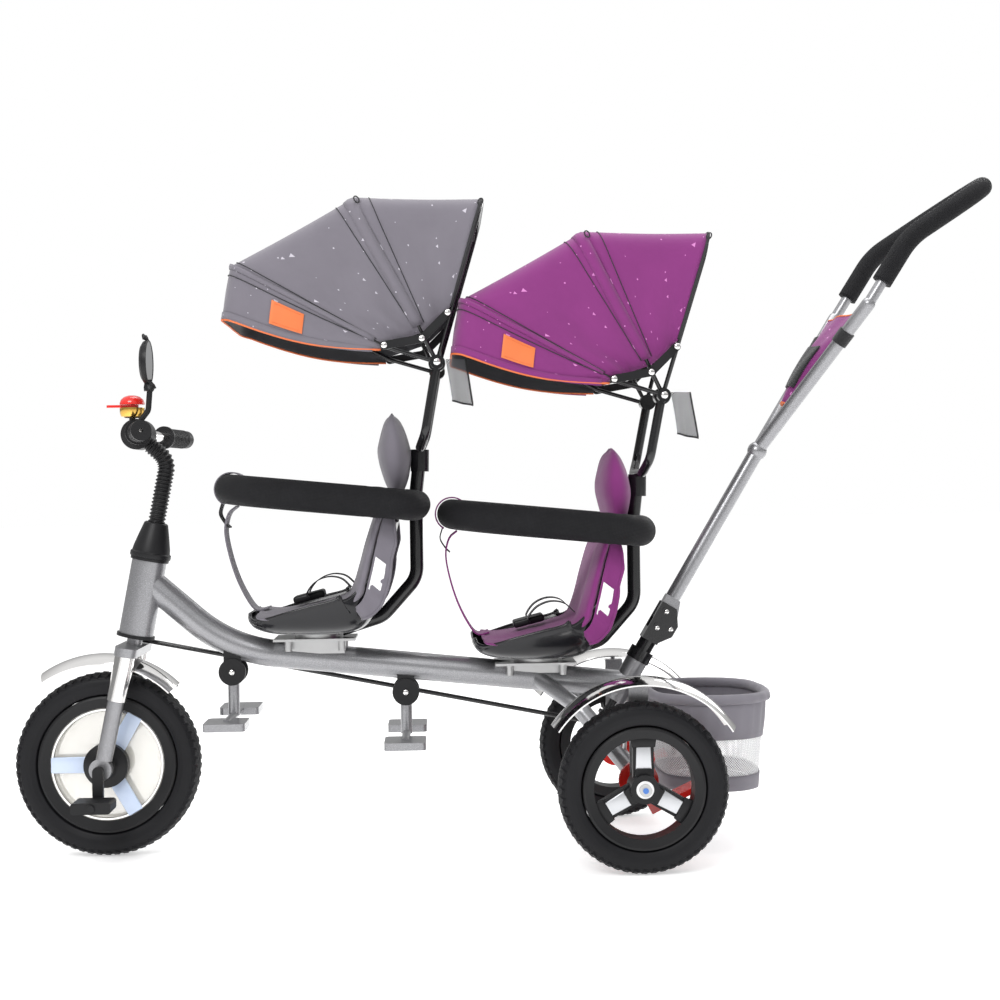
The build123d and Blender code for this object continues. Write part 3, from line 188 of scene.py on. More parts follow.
# %% [markdown]
# Three shader groups serve many finishes. "grain" gives a fine uneven bump and a soft colour mask, as on
# moulded plastic and powder coat. "weave" crosses two wave patterns on the cloth's own UV map, so that the
# threads follow the sheet. "marks" scatters small dots and triangles, each cell choosing its own size.
# %% Shader groups
def new_group(name, inputs, outputs):
    group = bpy.data.node_groups.new(name, "ShaderNodeTree")
    for label, kind, value in inputs:
        socket = group.interface.new_socket(label, in_out="INPUT", socket_type=kind)
        if value is not None:
            socket.default_value = value
    for label, kind in outputs:
        group.interface.new_socket(label, in_out="OUTPUT", socket_type=kind)
    start = group.nodes.new("NodeGroupInput")
    end = group.nodes.new("NodeGroupOutput")
    return group, start, end


def math_node(tree, operation, a, b=None, c=None):
    node = tree.nodes.new("ShaderNodeMath")
    node.operation = operation
    for i, value in enumerate((a, b, c)):
        if value is None:
            continue
        if isinstance(value, (int, float)):
            node.inputs[i].default_value = value
        else:
            tree.links.new(value, node.inputs[i])
    return node.outputs[0]


def noise_node(tree, vector, scale, detail=3.0, rough=0.5):
    node = tree.nodes.new("ShaderNodeTexNoise")
    node.inputs["Detail"].default_value = detail
    node.inputs["Roughness"].default_value = rough
    if isinstance(scale, (int, float)):
        node.inputs["Scale"].default_value = scale
    else:
        tree.links.new(scale, node.inputs["Scale"])
    tree.links.new(vector, node.inputs["Vector"])
    return node.outputs["Fac"]


grain, start, end = new_group("grain", [("Vector", "NodeSocketVector", None), ("Scale", "NodeSocketFloat",
        900.0)],
                              [("Height", "NodeSocketFloat"), ("Mask", "NodeSocketFloat")])
fine = noise_node(grain, start.outputs["Vector"], start.outputs["Scale"], 2)
broad = noise_node(grain, start.outputs["Vector"], 14.0, 5, 0.6)
grain.links.new(fine, end.inputs["Height"])
grain.links.new(broad, end.inputs["Mask"])

weave, start, end = new_group("weave", [("Vector", "NodeSocketVector", None), ("Threads", "NodeSocketFloat",
        1400.0)],
                              [("Height", "NodeSocketFloat"), ("Mask", "NodeSocketFloat")])
split = weave.nodes.new("ShaderNodeSeparateXYZ")
weave.links.new(start.outputs["Vector"], split.inputs[0])
warp = math_node(weave, "SINE", math_node(weave, "MULTIPLY", split.outputs["X"], start.outputs["Threads"]))
weft = math_node(weave, "SINE", math_node(weave, "MULTIPLY", split.outputs["Y"], start.outputs["Threads"]))
crossing = math_node(weave, "MULTIPLY", warp, weft)
cloudy = noise_node(weave, start.outputs["Vector"], 9.0, 4, 0.6)
weave.links.new(math_node(weave, "MULTIPLY_ADD", crossing, 0.5, 0.5), end.inputs["Height"])
weave.links.new(cloudy, end.inputs["Mask"])

marks, start, end = new_group("marks", [("Vector", "NodeSocketVector", None), ("Density", "NodeSocketFloat",
        34.0)],
                              [("Mask", "NodeSocketFloat")])
cells = marks.nodes.new("ShaderNodeTexVoronoi")
cells.voronoi_dimensions = "2D"
marks.links.new(start.outputs["Vector"], cells.inputs["Vector"])
marks.links.new(start.outputs["Density"], cells.inputs["Scale"])
away = marks.nodes.new("ShaderNodeVectorMath")
away.operation = "SUBTRACT"
marks.links.new(start.outputs["Vector"], away.inputs[0])
marks.links.new(cells.outputs["Position"], away.inputs[1])
chance = marks.nodes.new("ShaderNodeSeparateColor")
marks.links.new(cells.outputs["Color"], chance.inputs[0])
offset = marks.nodes.new("ShaderNodeSeparateXYZ")
marks.links.new(away.outputs[0], offset.inputs[0])
slant = math_node(marks, "MULTIPLY_ADD", math_node(marks, "ABSOLUTE", offset.outputs["X"]), 0.866,
                  math_node(marks, "MULTIPLY", offset.outputs["Y"], 0.5))
triangle = math_node(marks, "MAXIMUM", slant, math_node(marks, "MULTIPLY", offset.outputs["Y"], -1.0))
size = math_node(marks, "MULTIPLY_ADD", chance.outputs["Green"], 0.0011, 0.0007)
in_triangle = math_node(marks, "LESS_THAN", triangle, math_node(marks, "MULTIPLY", size, 1.5))
far = math_node(marks, "MULTIPLY", cells.outputs["Distance"],
        math_node(marks, "DIVIDE", 1.0, start.outputs["Density"]))
in_dot = math_node(marks, "LESS_THAN", far, size)
chosen = math_node(marks, "GREATER_THAN", chance.outputs["Red"], 0.86)
plain = math_node(marks, "LESS_THAN", chance.outputs["Red"], 0.42)
both = math_node(marks, "ADD", math_node(marks, "MULTIPLY", in_triangle, chosen),
                 math_node(marks, "MULTIPLY", in_dot, plain))
marks.links.new(math_node(marks, "MINIMUM", both, 1.0), end.inputs["Mask"])
print("groups", [g.name for g in bpy.data.node_groups])

# %% [markdown]
# Hard finishes all share one recipe: a base colour shifted a little by a broad noise, a roughness that
# varies with the same noise, and a fine bump. Only the numbers differ between silver paint, powder coat,
# chrome and moulded plastic.
# %% Hard finishes
def mix_color(tree, fac, a, b):
    node = tree.nodes.new("ShaderNodeMix")
    node.data_type = "RGBA"
    for index, value in ((0, fac), (6, a), (7, b)):
        if isinstance(value, (int, float)):
            node.inputs[index].default_value = value
        elif isinstance(value, tuple):
            node.inputs[index].default_value = (*value, 1)
        else:
            tree.links.new(value, node.inputs[index])
    return node.outputs[2]


def map_range(tree, value, low, high):
    node = tree.nodes.new("ShaderNodeMapRange")
    node.inputs["To Min"].default_value = low
    node.inputs["To Max"].default_value = high
    tree.links.new(value, node.inputs["Value"])
    return node.outputs["Result"]


def bump_into(tree, shader, height, strength, distance):
    bump = tree.nodes.new("ShaderNodeBump")
    bump.inputs["Strength"].default_value = strength
    bump.inputs["Distance"].default_value = distance
    tree.links.new(height, bump.inputs["Height"])
    tree.links.new(bump.outputs["Normal"], shader.inputs["Normal"])


def hard_finish(name, dark, light, rough, metallic=0.0, coat=0.0, scale=900.0, bump=0.05, specular=0.5):
    made, tree, shader = new_material(name)
    where = tree.nodes.new("ShaderNodeTexCoord")
    group = tree.nodes.new("ShaderNodeGroup")
    group.node_tree = grain
    group.inputs["Scale"].default_value = scale
    tree.links.new(where.outputs["Object"], group.inputs["Vector"])
    tree.links.new(mix_color(tree, group.outputs["Mask"], dark, light), shader.inputs["Base Color"])
    tree.links.new(map_range(tree, group.outputs["Mask"], rough[0], rough[1]), shader.inputs["Roughness"])
    shader.inputs["Metallic"].default_value = metallic
    shader.inputs["Coat Weight"].default_value = coat
    shader.inputs["Specular IOR Level"].default_value = specular
    bump_into(tree, shader, group.outputs["Height"], bump, 0.0002)
    return made


finishes = {
    "black_paint": hard_finish("black_powder_coat", (0.008, 0.008, 0.009), (0.010, 0.010, 0.011),
            (0.16, 0.28), coat=0.25,
                               specular=0.4),
    "chrome": hard_finish("chrome_plate", (0.72, 0.71, 0.70), (0.86, 0.85, 0.84), (0.05, 0.13), 1.0,
        bump=0.01),
    "zinc": hard_finish("zinc_plate", (0.42, 0.42, 0.42), (0.60, 0.60, 0.60), (0.28, 0.42), 0.9, bump=0.05),
    "black_plastic": hard_finish("moulded_plastic", (0.006, 0.006, 0.007), (0.013, 0.013, 0.014),
        (0.34, 0.5), bump=0.12,
                                 specular=0.28),
    "seat_plastic": hard_finish("glossy_plastic", (0.006, 0.006, 0.008), (0.010, 0.010, 0.012),
        (0.13, 0.24), bump=0.03,
                                specular=0.42),
    "red_plastic": hard_finish("red_plastic", (0.62, 0.015, 0.012), (0.75, 0.03, 0.02), (0.14, 0.24),
        coat=0.3, bump=0.02),
    "gold": hard_finish("gold_plate", (0.72, 0.42, 0.08), (0.86, 0.55, 0.14), (0.14, 0.24), 1.0, bump=0.02),
    "silver_insert": hard_finish("brushed_insert", (0.50, 0.51, 0.53), (0.66, 0.67, 0.69), (0.24, 0.38),
        0.85, bump=0.05),
    "orange_leather": hard_finish("orange_patch", (0.60, 0.13, 0.035), (0.72, 0.19, 0.05), (0.45, 0.6),
        scale=1500, bump=0.35),
    "orange_piping": hard_finish("orange_piping", (0.62, 0.12, 0.03), (0.74, 0.18, 0.05), (0.5, 0.65),
        scale=2500, bump=0.3),
    "label": hard_finish("blank_label", (0.86, 0.86, 0.86), (0.92, 0.92, 0.92), (0.4, 0.5), bump=0.01),
    "blue_insert": hard_finish("blue_insert", (0.05, 0.16, 0.5), (0.08, 0.22, 0.6), (0.3, 0.4), bump=0.02),
    "spoke_plastic": hard_finish("pale_blue_plastic", (0.42, 0.52, 0.72), (0.66, 0.74, 0.88), (0.08, 0.2),
        coat=0.4,
                                 bump=0.02),
    "elastic": hard_finish("black_elastic", (0.012, 0.012, 0.013), (0.03, 0.03, 0.032), (0.7, 0.85),
        scale=3000, bump=0.4),
}


def silver_paint():
    made, tree, shader = new_material("silver_sparkle_paint")
    where = tree.nodes.new("ShaderNodeTexCoord")
    flakes = tree.nodes.new("ShaderNodeTexVoronoi")
    flakes.inputs["Scale"].default_value = 1700
    tree.links.new(where.outputs["Object"], flakes.inputs["Vector"])
    shade = tree.nodes.new("ShaderNodeSeparateColor")
    tree.links.new(flakes.outputs["Color"], shade.inputs[0])
    broad = noise_node(tree, where.outputs["Object"], 10.0, 4)
    spark = math_node(tree, "POWER", shade.outputs["Red"], 3.0)
    low = mix_color(tree, broad, (0.22, 0.22, 0.23), (0.28, 0.28, 0.29))
    tree.links.new(mix_color(tree, spark, low, (0.40, 0.40, 0.42)), shader.inputs["Base Color"])
    tree.links.new(map_range(tree, shade.outputs["Green"], 0.28, 0.38), shader.inputs["Roughness"])
    shader.inputs["Metallic"].default_value = 0.7
    shader.inputs["Coat Weight"].default_value = 0.5
    shader.inputs["Coat Roughness"].default_value = 0.12
    bump_into(tree, shader, shade.outputs["Blue"], 0.04, 0.0001)
    return made


finishes["silver_paint"] = silver_paint()
print("hard finishes", len(finishes))

# %% [markdown]
# Cloth has a matt face with a soft sheen at grazing angles. The weave's threads are bumps and not drawn
# lines. The canopy cloth also carries the small pale marks; its lining, the same cloth near black, is painted
# shade.
# %% Cloth finishes
def cloth(name, dark, light, marked=False, threads=2600.0, bump=0.35, sheen=0.25, rough=(0.72, 0.88)):
    made, tree, shader = new_material(name)
    where = tree.nodes.new("ShaderNodeUVMap")
    group = tree.nodes.new("ShaderNodeGroup")
    group.node_tree = weave
    group.inputs["Threads"].default_value = threads
    tree.links.new(where.outputs["UV"], group.inputs["Vector"])
    color = mix_color(tree, group.outputs["Mask"], dark, light)
    if marked:
        spots = tree.nodes.new("ShaderNodeGroup")
        spots.node_tree = marks
        tree.links.new(where.outputs["UV"], spots.inputs["Vector"])
        pale = tuple(min(1.0, c * 1.9 + 0.14) for c in light)
        color = mix_color(tree, spots.outputs["Mask"], color, pale)
    tree.links.new(color, shader.inputs["Base Color"])
    tree.links.new(map_range(tree, group.outputs["Mask"], rough[0], rough[1]), shader.inputs["Roughness"])
    shader.inputs["Sheen Weight"].default_value = sheen
    shader.inputs["Sheen Roughness"].default_value = 0.5
    shader.inputs["Specular IOR Level"].default_value = 0.3
    bump_into(tree, shader, group.outputs["Height"], bump, 0.0004)
    return made


GREY_DARK, GREY_LIGHT = (0.135, 0.125, 0.148), (0.185, 0.172, 0.20)
PURPLE_DARK, PURPLE_LIGHT = (0.165, 0.018, 0.135), (0.23, 0.032, 0.185)
finishes["front_cloth"] = cloth("grey_cloth", GREY_DARK, GREY_LIGHT, True)
finishes["rear_cloth"] = cloth("purple_cloth", PURPLE_DARK, PURPLE_LIGHT, True)
finishes["front_seat_cloth"] = cloth("grey_seat_cloth", GREY_DARK, GREY_LIGHT)
finishes["rear_seat_cloth"] = cloth("purple_seat_cloth", PURPLE_DARK, PURPLE_LIGHT)
# The lining is the canopy cloth's weave in near black: painted shade for the canopy's inside.
finishes["painted_shade_lining"] = cloth("painted_shade_lining_cloth", (0.03, 0.03, 0.033), (0.05, 0.05, 0.055))
finishes["webbing"] = cloth("black_webbing", (0.008, 0.008, 0.009), (0.02, 0.02, 0.022), threads=3400.0,
        bump=0.8)
finishes["band"] = cloth("grey_band", (0.16, 0.15, 0.17), (0.22, 0.21, 0.24))


def foam_finish():
    made, tree, shader = new_material("foam_sleeve")
    where = tree.nodes.new("ShaderNodeUVMap")
    split = tree.nodes.new("ShaderNodeSeparateXYZ")
    tree.links.new(where.outputs["UV"], split.inputs[0])
    one = math_node(tree, "SINE", math_node(tree, "MULTIPLY", math_node(
        tree, "ADD", split.outputs["X"], split.outputs["Y"]), 1500.0))
    two = math_node(tree, "SINE", math_node(tree, "MULTIPLY", math_node(
        tree, "SUBTRACT", split.outputs["X"], split.outputs["Y"]), 1500.0))
    height = math_node(tree, "MULTIPLY", one, two)
    cloudy = noise_node(tree, where.outputs["UV"], 30.0, 4)
    tree.links.new(mix_color(tree, cloudy, (0.005, 0.005, 0.006), (0.011, 0.011, 0.013)),
            shader.inputs["Base Color"])
    shader.inputs["Specular IOR Level"].default_value = 0.22
    tree.links.new(map_range(tree, height, 0.72, 0.52), shader.inputs["Roughness"])
    bump_into(tree, shader, height, 0.7, 0.0008)
    return made


def net_finish(name, color, pitch, thread):
    made, tree, shader = new_material(name)
    where = tree.nodes.new("ShaderNodeUVMap")
    split = tree.nodes.new("ShaderNodeSeparateXYZ")
    tree.links.new(where.outputs["UV"], split.inputs[0])
    lines = []
    for operation in ("ADD", "SUBTRACT"):
        run = math_node(tree, operation, split.outputs["X"], split.outputs["Y"])
        across = math_node(tree, "ABSOLUTE", math_node(tree, "SUBTRACT", math_node(
            tree, "FRACT", math_node(tree, "DIVIDE", run, pitch)), 0.5))
        lines.append(math_node(tree, "LESS_THAN", across, thread))
    tree.links.new(math_node(tree, "MAXIMUM", *lines), shader.inputs["Alpha"])
    cloudy = noise_node(tree, where.outputs["UV"], 20.0, 3)
    tree.links.new(mix_color(tree, cloudy, tuple(c * 0.85 for c in color), color),
            shader.inputs["Base Color"])
    tree.links.new(map_range(tree, cloudy, 0.55, 0.7), shader.inputs["Roughness"])
    return made


def tyre_finish():
    made, tree, shader = new_material("tyre_rubber")
    where = tree.nodes.new("ShaderNodeUVMap")
    split = tree.nodes.new("ShaderNodeSeparateXYZ")
    tree.links.new(where.outputs["UV"], split.inputs[0])
    cloudy = noise_node(tree, where.outputs["UV"], 40.0, 5, 0.65)
    ribs = math_node(tree, "SINE", math_node(tree, "MULTIPLY", split.outputs["Y"], 900.0))
    tree.links.new(mix_color(tree, cloudy, (0.004, 0.004, 0.005), (0.009, 0.009, 0.011)),
            shader.inputs["Base Color"])
    shader.inputs["Specular IOR Level"].default_value = 0.24
    tree.links.new(map_range(tree, cloudy, 0.42, 0.62), shader.inputs["Roughness"])
    bump_into(tree, shader, math_node(tree, "MULTIPLY_ADD", ribs, 0.3, cloudy), 0.25, 0.0006)
    return made


def clear_finish():
    made, tree, shader = new_material("clear_plastic")
    where = tree.nodes.new("ShaderNodeTexCoord")
    cloudy = noise_node(tree, where.outputs["Object"], 25.0, 3)
    tree.links.new(mix_color(tree, cloudy, (0.86, 0.83, 0.76), (0.94, 0.92, 0.86)),
            shader.inputs["Base Color"])
    tree.links.new(map_range(tree, cloudy, 0.06, 0.16), shader.inputs["Roughness"])
    shader.inputs["Alpha"].default_value = 0.30
    return made


def mirror_finish():
    made, tree, shader = new_material("mirror_glass")
    where = tree.nodes.new("ShaderNodeTexCoord")
    cloudy = noise_node(tree, where.outputs["Object"], 60.0, 3)
    tree.links.new(mix_color(tree, cloudy, (0.86, 0.88, 0.9), (0.92, 0.93, 0.94)),
            shader.inputs["Base Color"])
    tree.links.new(map_range(tree, cloudy, 0.01, 0.04), shader.inputs["Roughness"])
    shader.inputs["Metallic"].default_value = 1.0
    return made


finishes["foam"] = foam_finish()
finishes["white_net"] = net_finish("white_net", (0.82, 0.82, 0.83), 0.0042, 0.2)
finishes["grey_net"] = net_finish("grey_net", (0.10, 0.10, 0.11), 0.0048, 0.24)
finishes["tyre_rubber"] = tyre_finish()
finishes["clear_plastic"] = clear_finish()
finishes["mirror_glass"] = mirror_finish()
print("all finishes", len(finishes))

# %% [markdown]
# Every CAD node that stays visible gets its finish here, by the slot that the record gives it. Foam and
# tyre finishes read a UV map, which a CAD mesh lacks, so those nodes are replaced further down.
# %% Finishes on the CAD nodes
node_slots = {row["node"]: row["material_slot"] for row in frame["record"]["subparts"]}
slot_finish = {"grey_fabric": "front_seat_cloth", "purple_fabric": "rear_seat_cloth",
        "basket_fabric": "band",
               "mirror_plastic": "black_plastic"}
for node_name, node in frame["nodes"].items():
    slot_name = node_slots.get(node_name, "black_plastic")
    finish = finishes[slot_finish.get(slot_name, slot_name)]
    node.data.materials.clear()
    node.data.materials.append(finish)
print("nodes dressed", len(frame["nodes"]))

# %% [markdown]
# Cloth sheets, tubes and turned pieces each need a UV map measured in metres, so that a weave keeps its
# scale on every piece. `grid_mesh` lays a sheet over rows of points, `sweep` runs a ring of points along a
# line, and both write the distance travelled into the map.
# %% Sheets and swept tubes
def link_piece(name, mesh, finish, body):
    made = bpy.data.objects.new(name, mesh)
    bpy.context.scene.collection.objects.link(made)
    for label in ([finish] if isinstance(finish, str) else finish):
        mesh.materials.append(finishes[label])
    if body:
        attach(made, body)
    return made


def grid_mesh(name, rows, closed_across=False, closed_along=False):
    """A mesh over rows of points, with distances in metres as its UV map."""
    mesh = bpy.data.meshes.new(name)
    work = bmesh.new()
    layer = work.loops.layers.uv.new("UVMap")
    tall, wide = len(rows), len(rows[0])
    points = [[work.verts.new(p) for p in row] for row in rows]
    middle = rows[tall // 2]
    across = [0.0]
    for j in range(1, wide + 1):
        across.append(across[-1] + (middle[j % wide] - middle[j - 1]).length)
    along = [0.0]
    for i in range(1, tall + 1):
        along.append(along[-1] + (rows[i % tall][wide // 2] - rows[i - 1][wide // 2]).length)
    for i in range(tall if closed_along else tall - 1):
        for j in range(wide if closed_across else wide - 1):
            k, m = (i + 1) % tall, (j + 1) % wide
            face = work.faces.new((points[i][j], points[i][m], points[k][m], points[k][j]))
            spots = ((across[j], along[i]), (across[j + 1], along[i]), (across[j + 1], along[i + 1]),
                     (across[j], along[i + 1]))
            for loop, spot in zip(face.loops, spots):
                loop[layer].uv = spot
    work.to_mesh(mesh)
    work.free()
    for polygon in mesh.polygons:
        polygon.use_smooth = True
    return mesh


def apply_modifier(piece, kind, **values):
    clear_selection()
    piece.select_set(True)
    bpy.context.view_layer.objects.active = piece
    modifier = piece.modifiers.new(kind, kind)
    for key, value in values.items():
        setattr(modifier, key, value)
    bpy.ops.object.modifier_apply(modifier=modifier.name)
    return piece


def outward(piece):
    """Recalculates a closed piece's normals."""
    clear_selection()
    piece.select_set(True)
    bpy.context.view_layer.objects.active = piece
    bpy.ops.object.mode_set(mode="EDIT")
    bpy.ops.mesh.select_all(action="SELECT")
    bpy.ops.mesh.normals_make_consistent(inside=False)
    bpy.ops.object.mode_set(mode="OBJECT")
    return piece


def resample(points, spacing):
    """Evenly spaced points along a smooth line through the given ones."""
    dense = []
    padded = [points[0] * 2 - points[1]] + list(points) + [points[-1] * 2 - points[-2]]
    for i in range(1, len(padded) - 2):
        p0, p1, p2, p3 = padded[i - 1:i + 3]
        for k in range(16):
            t = k / 16
            dense.append(0.5 * ((2 * p1) + (p2 - p0) * t + (2 * p0 - 5 * p1 + 4 * p2 - p3) * t * t
                                + (3 * p1 - p0 - 3 * p2 + p3) * t ** 3))
    dense.append(Vector(points[-1]))
    return even(dense, spacing)


def even(dense, spacing):
    lengths = [0.0]
    for a, b in zip(dense, dense[1:]):
        lengths.append(lengths[-1] + (b - a).length)
    count = max(2, round(lengths[-1] / spacing) + 1)
    out, k = [], 0
    for i in range(count):
        want = lengths[-1] * i / (count - 1)
        while k < len(lengths) - 2 and lengths[k + 1] < want:
            k += 1
        span = max(1e-9, lengths[k + 1] - lengths[k])
        out.append(dense[k].lerp(dense[k + 1], min(1.0, (want - lengths[k]) / span)))
    return out


def rounded(points, radius, steps=8):
    """A line of straight runs whose corners are arcs, for bent tube."""
    radii = radius if isinstance(radius, (list, tuple)) else [radius] * (len(points) - 2)
    out = [points[0]]
    for i in range(1, len(points) - 1):
        a, b, c = points[i - 1:i + 2]
        u, v = (a - b).normalized(), (c - b).normalized()
        half = u.angle(v) / 2
        reach = radii[i - 1] / math.tan(half)
        centre = b + (u + v).normalized() * (radii[i - 1] / math.sin(half))
        first, last = b + u * reach - centre, b + v * reach - centre
        turn = first.angle(last)
        for k in range(steps + 1):
            t = k / steps
            out.append(centre + (first * math.sin((1 - t) * turn) + last * math.sin(t * turn)) / math.sin(turn))
    return out + [points[-1]]


def sweep(name, line, radius, finish, body, sides=20, ends=True, flat=1.0, side_hint=None):
    """A round or flattened section carried along a line."""
    rows = []
    tangent = (line[1] - line[0]).normalized()
    side = (side_hint or tangent.orthogonal()).copy()
    side = (side - tangent * side.dot(tangent)).normalized()
    total = 0.0
    for i, point in enumerate(line):
        ahead = line[min(i + 1, len(line) - 1)] - line[max(i - 1, 0)]
        tangent = ahead.normalized()
        side = (side - tangent * side.dot(tangent)).normalized()
        other = tangent.cross(side)
        if i:
            total += (point - line[i - 1]).length
        size = radius(total) if callable(radius) else radius
        rows.append([point + (side * math.cos(a) + other * math.sin(a) * flat) * size
                     for a in (2 * math.pi * k / sides for k in range(sides))])
    mesh = grid_mesh(name, rows, closed_across=True)
    made = link_piece(name, mesh, finish, body)
    if ends:
        clear_selection()
        made.select_set(True)
        bpy.context.view_layer.objects.active = made
        bpy.ops.object.mode_set(mode="EDIT")
        bpy.ops.mesh.select_all(action="DESELECT")
        bpy.ops.mesh.select_non_manifold()
        bpy.ops.mesh.edge_face_add()
        bpy.ops.object.mode_set(mode="OBJECT")
    return outward(made)


def turned(name, centre, axis, profile, finish, body, steps=64, up_hint=Vector((0, 0, 1))):
    """A profile of (distance along the axis, radius) in millimetres, turned round the axis."""
    axis = Vector(axis).normalized()
    if abs(axis.dot(up_hint)) > 0.95:
        up_hint = Vector((1, 0, 0))
    side = (up_hint - axis * up_hint.dot(axis)).normalized()
    other = axis.cross(side)
    rows = [[centre + axis * (a / 1000) + (side * math.cos(t) + other * math.sin(t)) * (r / 1000)
             for t in (2 * math.pi * k / steps for k in range(steps))] for a, r in profile]
    mesh = grid_mesh(name, rows, closed_across=True)
    made = link_piece(name, mesh, finish, body)
    apply_modifier(made, "WELD", merge_threshold=0.00002)
    outward(made)
    clear_selection()
    made.select_set(True)
    bpy.context.view_layer.objects.active = made
    bpy.ops.object.shade_smooth_by_angle(angle=math.radians(32))
    return made


print("helpers ready")

# %% [markdown]
# A canopy is cloth drawn over three bows: a rear bow that stays, a middle bow and a front bow that fold.
# Each hoop of the sheet starts at the hub on one side, climbs along a bow, rounds its corner and crosses
# over. Between two bows the cloth sags a little and small folds gather towards the hub, where it is full.
# %% Canopy hoops
STEPS_LEG, STEPS_BEND, STEPS_TOP = 16, 7, 16


def hoop(start, corner, half_start, half, bend):
    """One hoop of points: (along, rise) of its foot and corner, half widths and corner radius in mm."""
    leg_start = Vector((start[0], start[1], half_start))
    leg_end = Vector((corner[0], corner[1], half))
    run = leg_end - leg_start
    cut = run.normalized() * bend
    half_line = [leg_start.lerp(leg_end - cut, k / STEPS_LEG) for k in range(STEPS_LEG)]
    inner = Vector((corner[0], corner[1], half - bend))
    for k in range(STEPS_BEND):
        t = k / STEPS_BEND
        half_line.append((leg_end - cut) * (1 - t) ** 2 + leg_end * 2 * t * (1 - t) + inner * t * t)
    for k in range(STEPS_TOP // 2):
        half_line.append(inner.lerp(Vector((corner[0], corner[1], 0)), k / (STEPS_TOP // 2)))
    whole = [(p.x, p.y, -p.z) for p in half_line] + [(corner[0], corner[1], 0)]
    whole += [(p.x, p.y, p.z) for p in reversed(half_line)]
    return whole


def between(first, last, count, sag, gather, seed, fold_at):
    """Hoops between two, sagging inwards and gathered in folds near their feet."""
    rows = []
    wide = len(first)
    for i in range(count + 1):
        t = i / count
        row = []
        for j in range(wide):
            a, b = first[j], last[j]
            x, z, y = (a[0] + (b[0] - a[0]) * t, a[1] + (b[1] - a[1]) * t, a[2] + (b[2] - a[2]) * t)
            inwards = sag * math.sin(math.pi * t)
            from_foot = min(j, wide - 1 - j) / (STEPS_LEG + STEPS_BEND)
            near_foot = max(0.0, 1.0 - from_foot * 1.25)
            ripple = gather * near_foot * math.sin(math.pi * t) * math.sin(
                fold_at * t * math.pi + seed + 2.2 * noise.noise(Vector((x, y, z)) * 0.02))
            soft = 1.3 * noise.noise(Vector((x * 0.017 + seed, y * 0.017, z * 0.017)))
            length = math.hypot(x, z) or 1.0
            if from_foot < 1.0:
                y += math.copysign(1.0, y) * (ripple + soft * 0.8 - inwards * 0.55)
                x, z = x - x / length * inwards * 0.25, z - z / length * inwards * 0.25
            else:
                x, z = x - x / length * (inwards - soft * 0.5), z - z / length * (inwards - soft * 0.5)
            row.append((x, z, y))
        rows.append(row)
    return rows


OFF = 5.2
rear_hoop = hoop((24.0, 88.0), (75.0, 253.0 + OFF), 118.0, 140.0 + OFF, 46)
mid_hoop = hoop((-20.0, 48.0), (-126.5, 256.0 + OFF), 116.0, 146.0 + OFF, 46)
front_hoop = hoop((-86.0, 29.0), (-322.0, 148.0 + OFF), 126.0, 150.0 + OFF, 46)


def hem_hoop():
    """The visor's lower edge hangs in a curve from the rivet to the front."""
    base = hoop((-88.0, 19.0), (-337.0, 69.0), 128.0, 150.0 + OFF, 46)
    out = []
    for x, z, y in base:
        t = (x + 88.0) / (-334.0 + 88.0)
        out.append((x, z - 13.0 * math.sin(math.pi * min(1.0, t * 1.05)) if t < 0.95 else z, y))
    return out


print("points in a hoop", len(rear_hoop))

# %% [markdown]
# The cloth is made in three panels, because each lies between two bodies that move: rear to middle bow,
# middle to front bow, and the visor, which hangs from the front bow alone. Each sheet gets 1.2 mm of
# thickness, with its inner face in a near-black lining that is painted shade.
# %% Canopy panels
def in_place(seat, rows):
    return [[hub(seat, x, z, y) for x, z, y in row] for row in rows]


def surface_area(piece):
    return sum(polygon.area for polygon in piece.data.polygons)


def cloth_sheet(name, rows, finish, painted_shade_lining, body, thick=1.2):
    mesh = grid_mesh(name, rows)
    made = link_piece(name, mesh, (finish, painted_shade_lining), None)
    area = surface_area(made)
    wide = sum((b - a).length for a, b in zip(rows[len(rows) // 2], rows[len(rows) // 2][1:]))
    middle = [row[len(row) // 2] for row in rows]
    tall = sum((b - a).length for a, b in zip(middle, middle[1:]))
    made["flat"] = (wide, max(tall, area / wide))
    made["cut"] = area
    inward = made.data.polygons[0].normal.dot(made.data.polygons[0].center - rows_centre(rows)) > 0
    apply_modifier(made, "SOLIDIFY", thickness=thick / 1000, offset=-1.0 if inward else 1.0,
            material_offset=1,
                   material_offset_rim=0)
    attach(made, body)
    return made


def rows_centre(rows):
    total = Vector((0, 0, 0))
    for row in rows:
        for p in row:
            total += p
    return total / (len(rows) * len(rows[0]))


def strip_on(name, rows, row_at, cols, half_wide, lift, finish, body, thick=0.7, bulge=0.0):
    """A narrow strip that follows a sheet's own surface along one of its rows."""
    line = [rows[row_at][j] for j in cols]
    other = rows[row_at + 1 if row_at + 1 < len(rows) else row_at - 1]
    out = [[], [], []]
    for k, j in enumerate(cols):
        run = (other[j] - rows[row_at][j])
        run = run.normalized() * (1 if row_at + 1 < len(rows) else -1)
        tangent = (line[min(k + 1, len(line) - 1)] - line[max(k - 1, 0)]).normalized()
        normal = tangent.cross(run).normalized()
        if normal.dot(line[k] - rows_centre(rows)) < 0:
            normal = -normal
        for m, offset in enumerate((-half_wide, 0, half_wide)):
            out[m].append(line[k] + run * (offset / 1000) + normal * ((lift + (bulge if m == 1 else 0)) / 1000))
    mesh = grid_mesh(name, out)
    made = link_piece(name, mesh, finish, None)
    apply_modifier(made, "SOLIDIFY", thickness=thick / 1000, offset=0.0)
    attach(made, body)
    return made


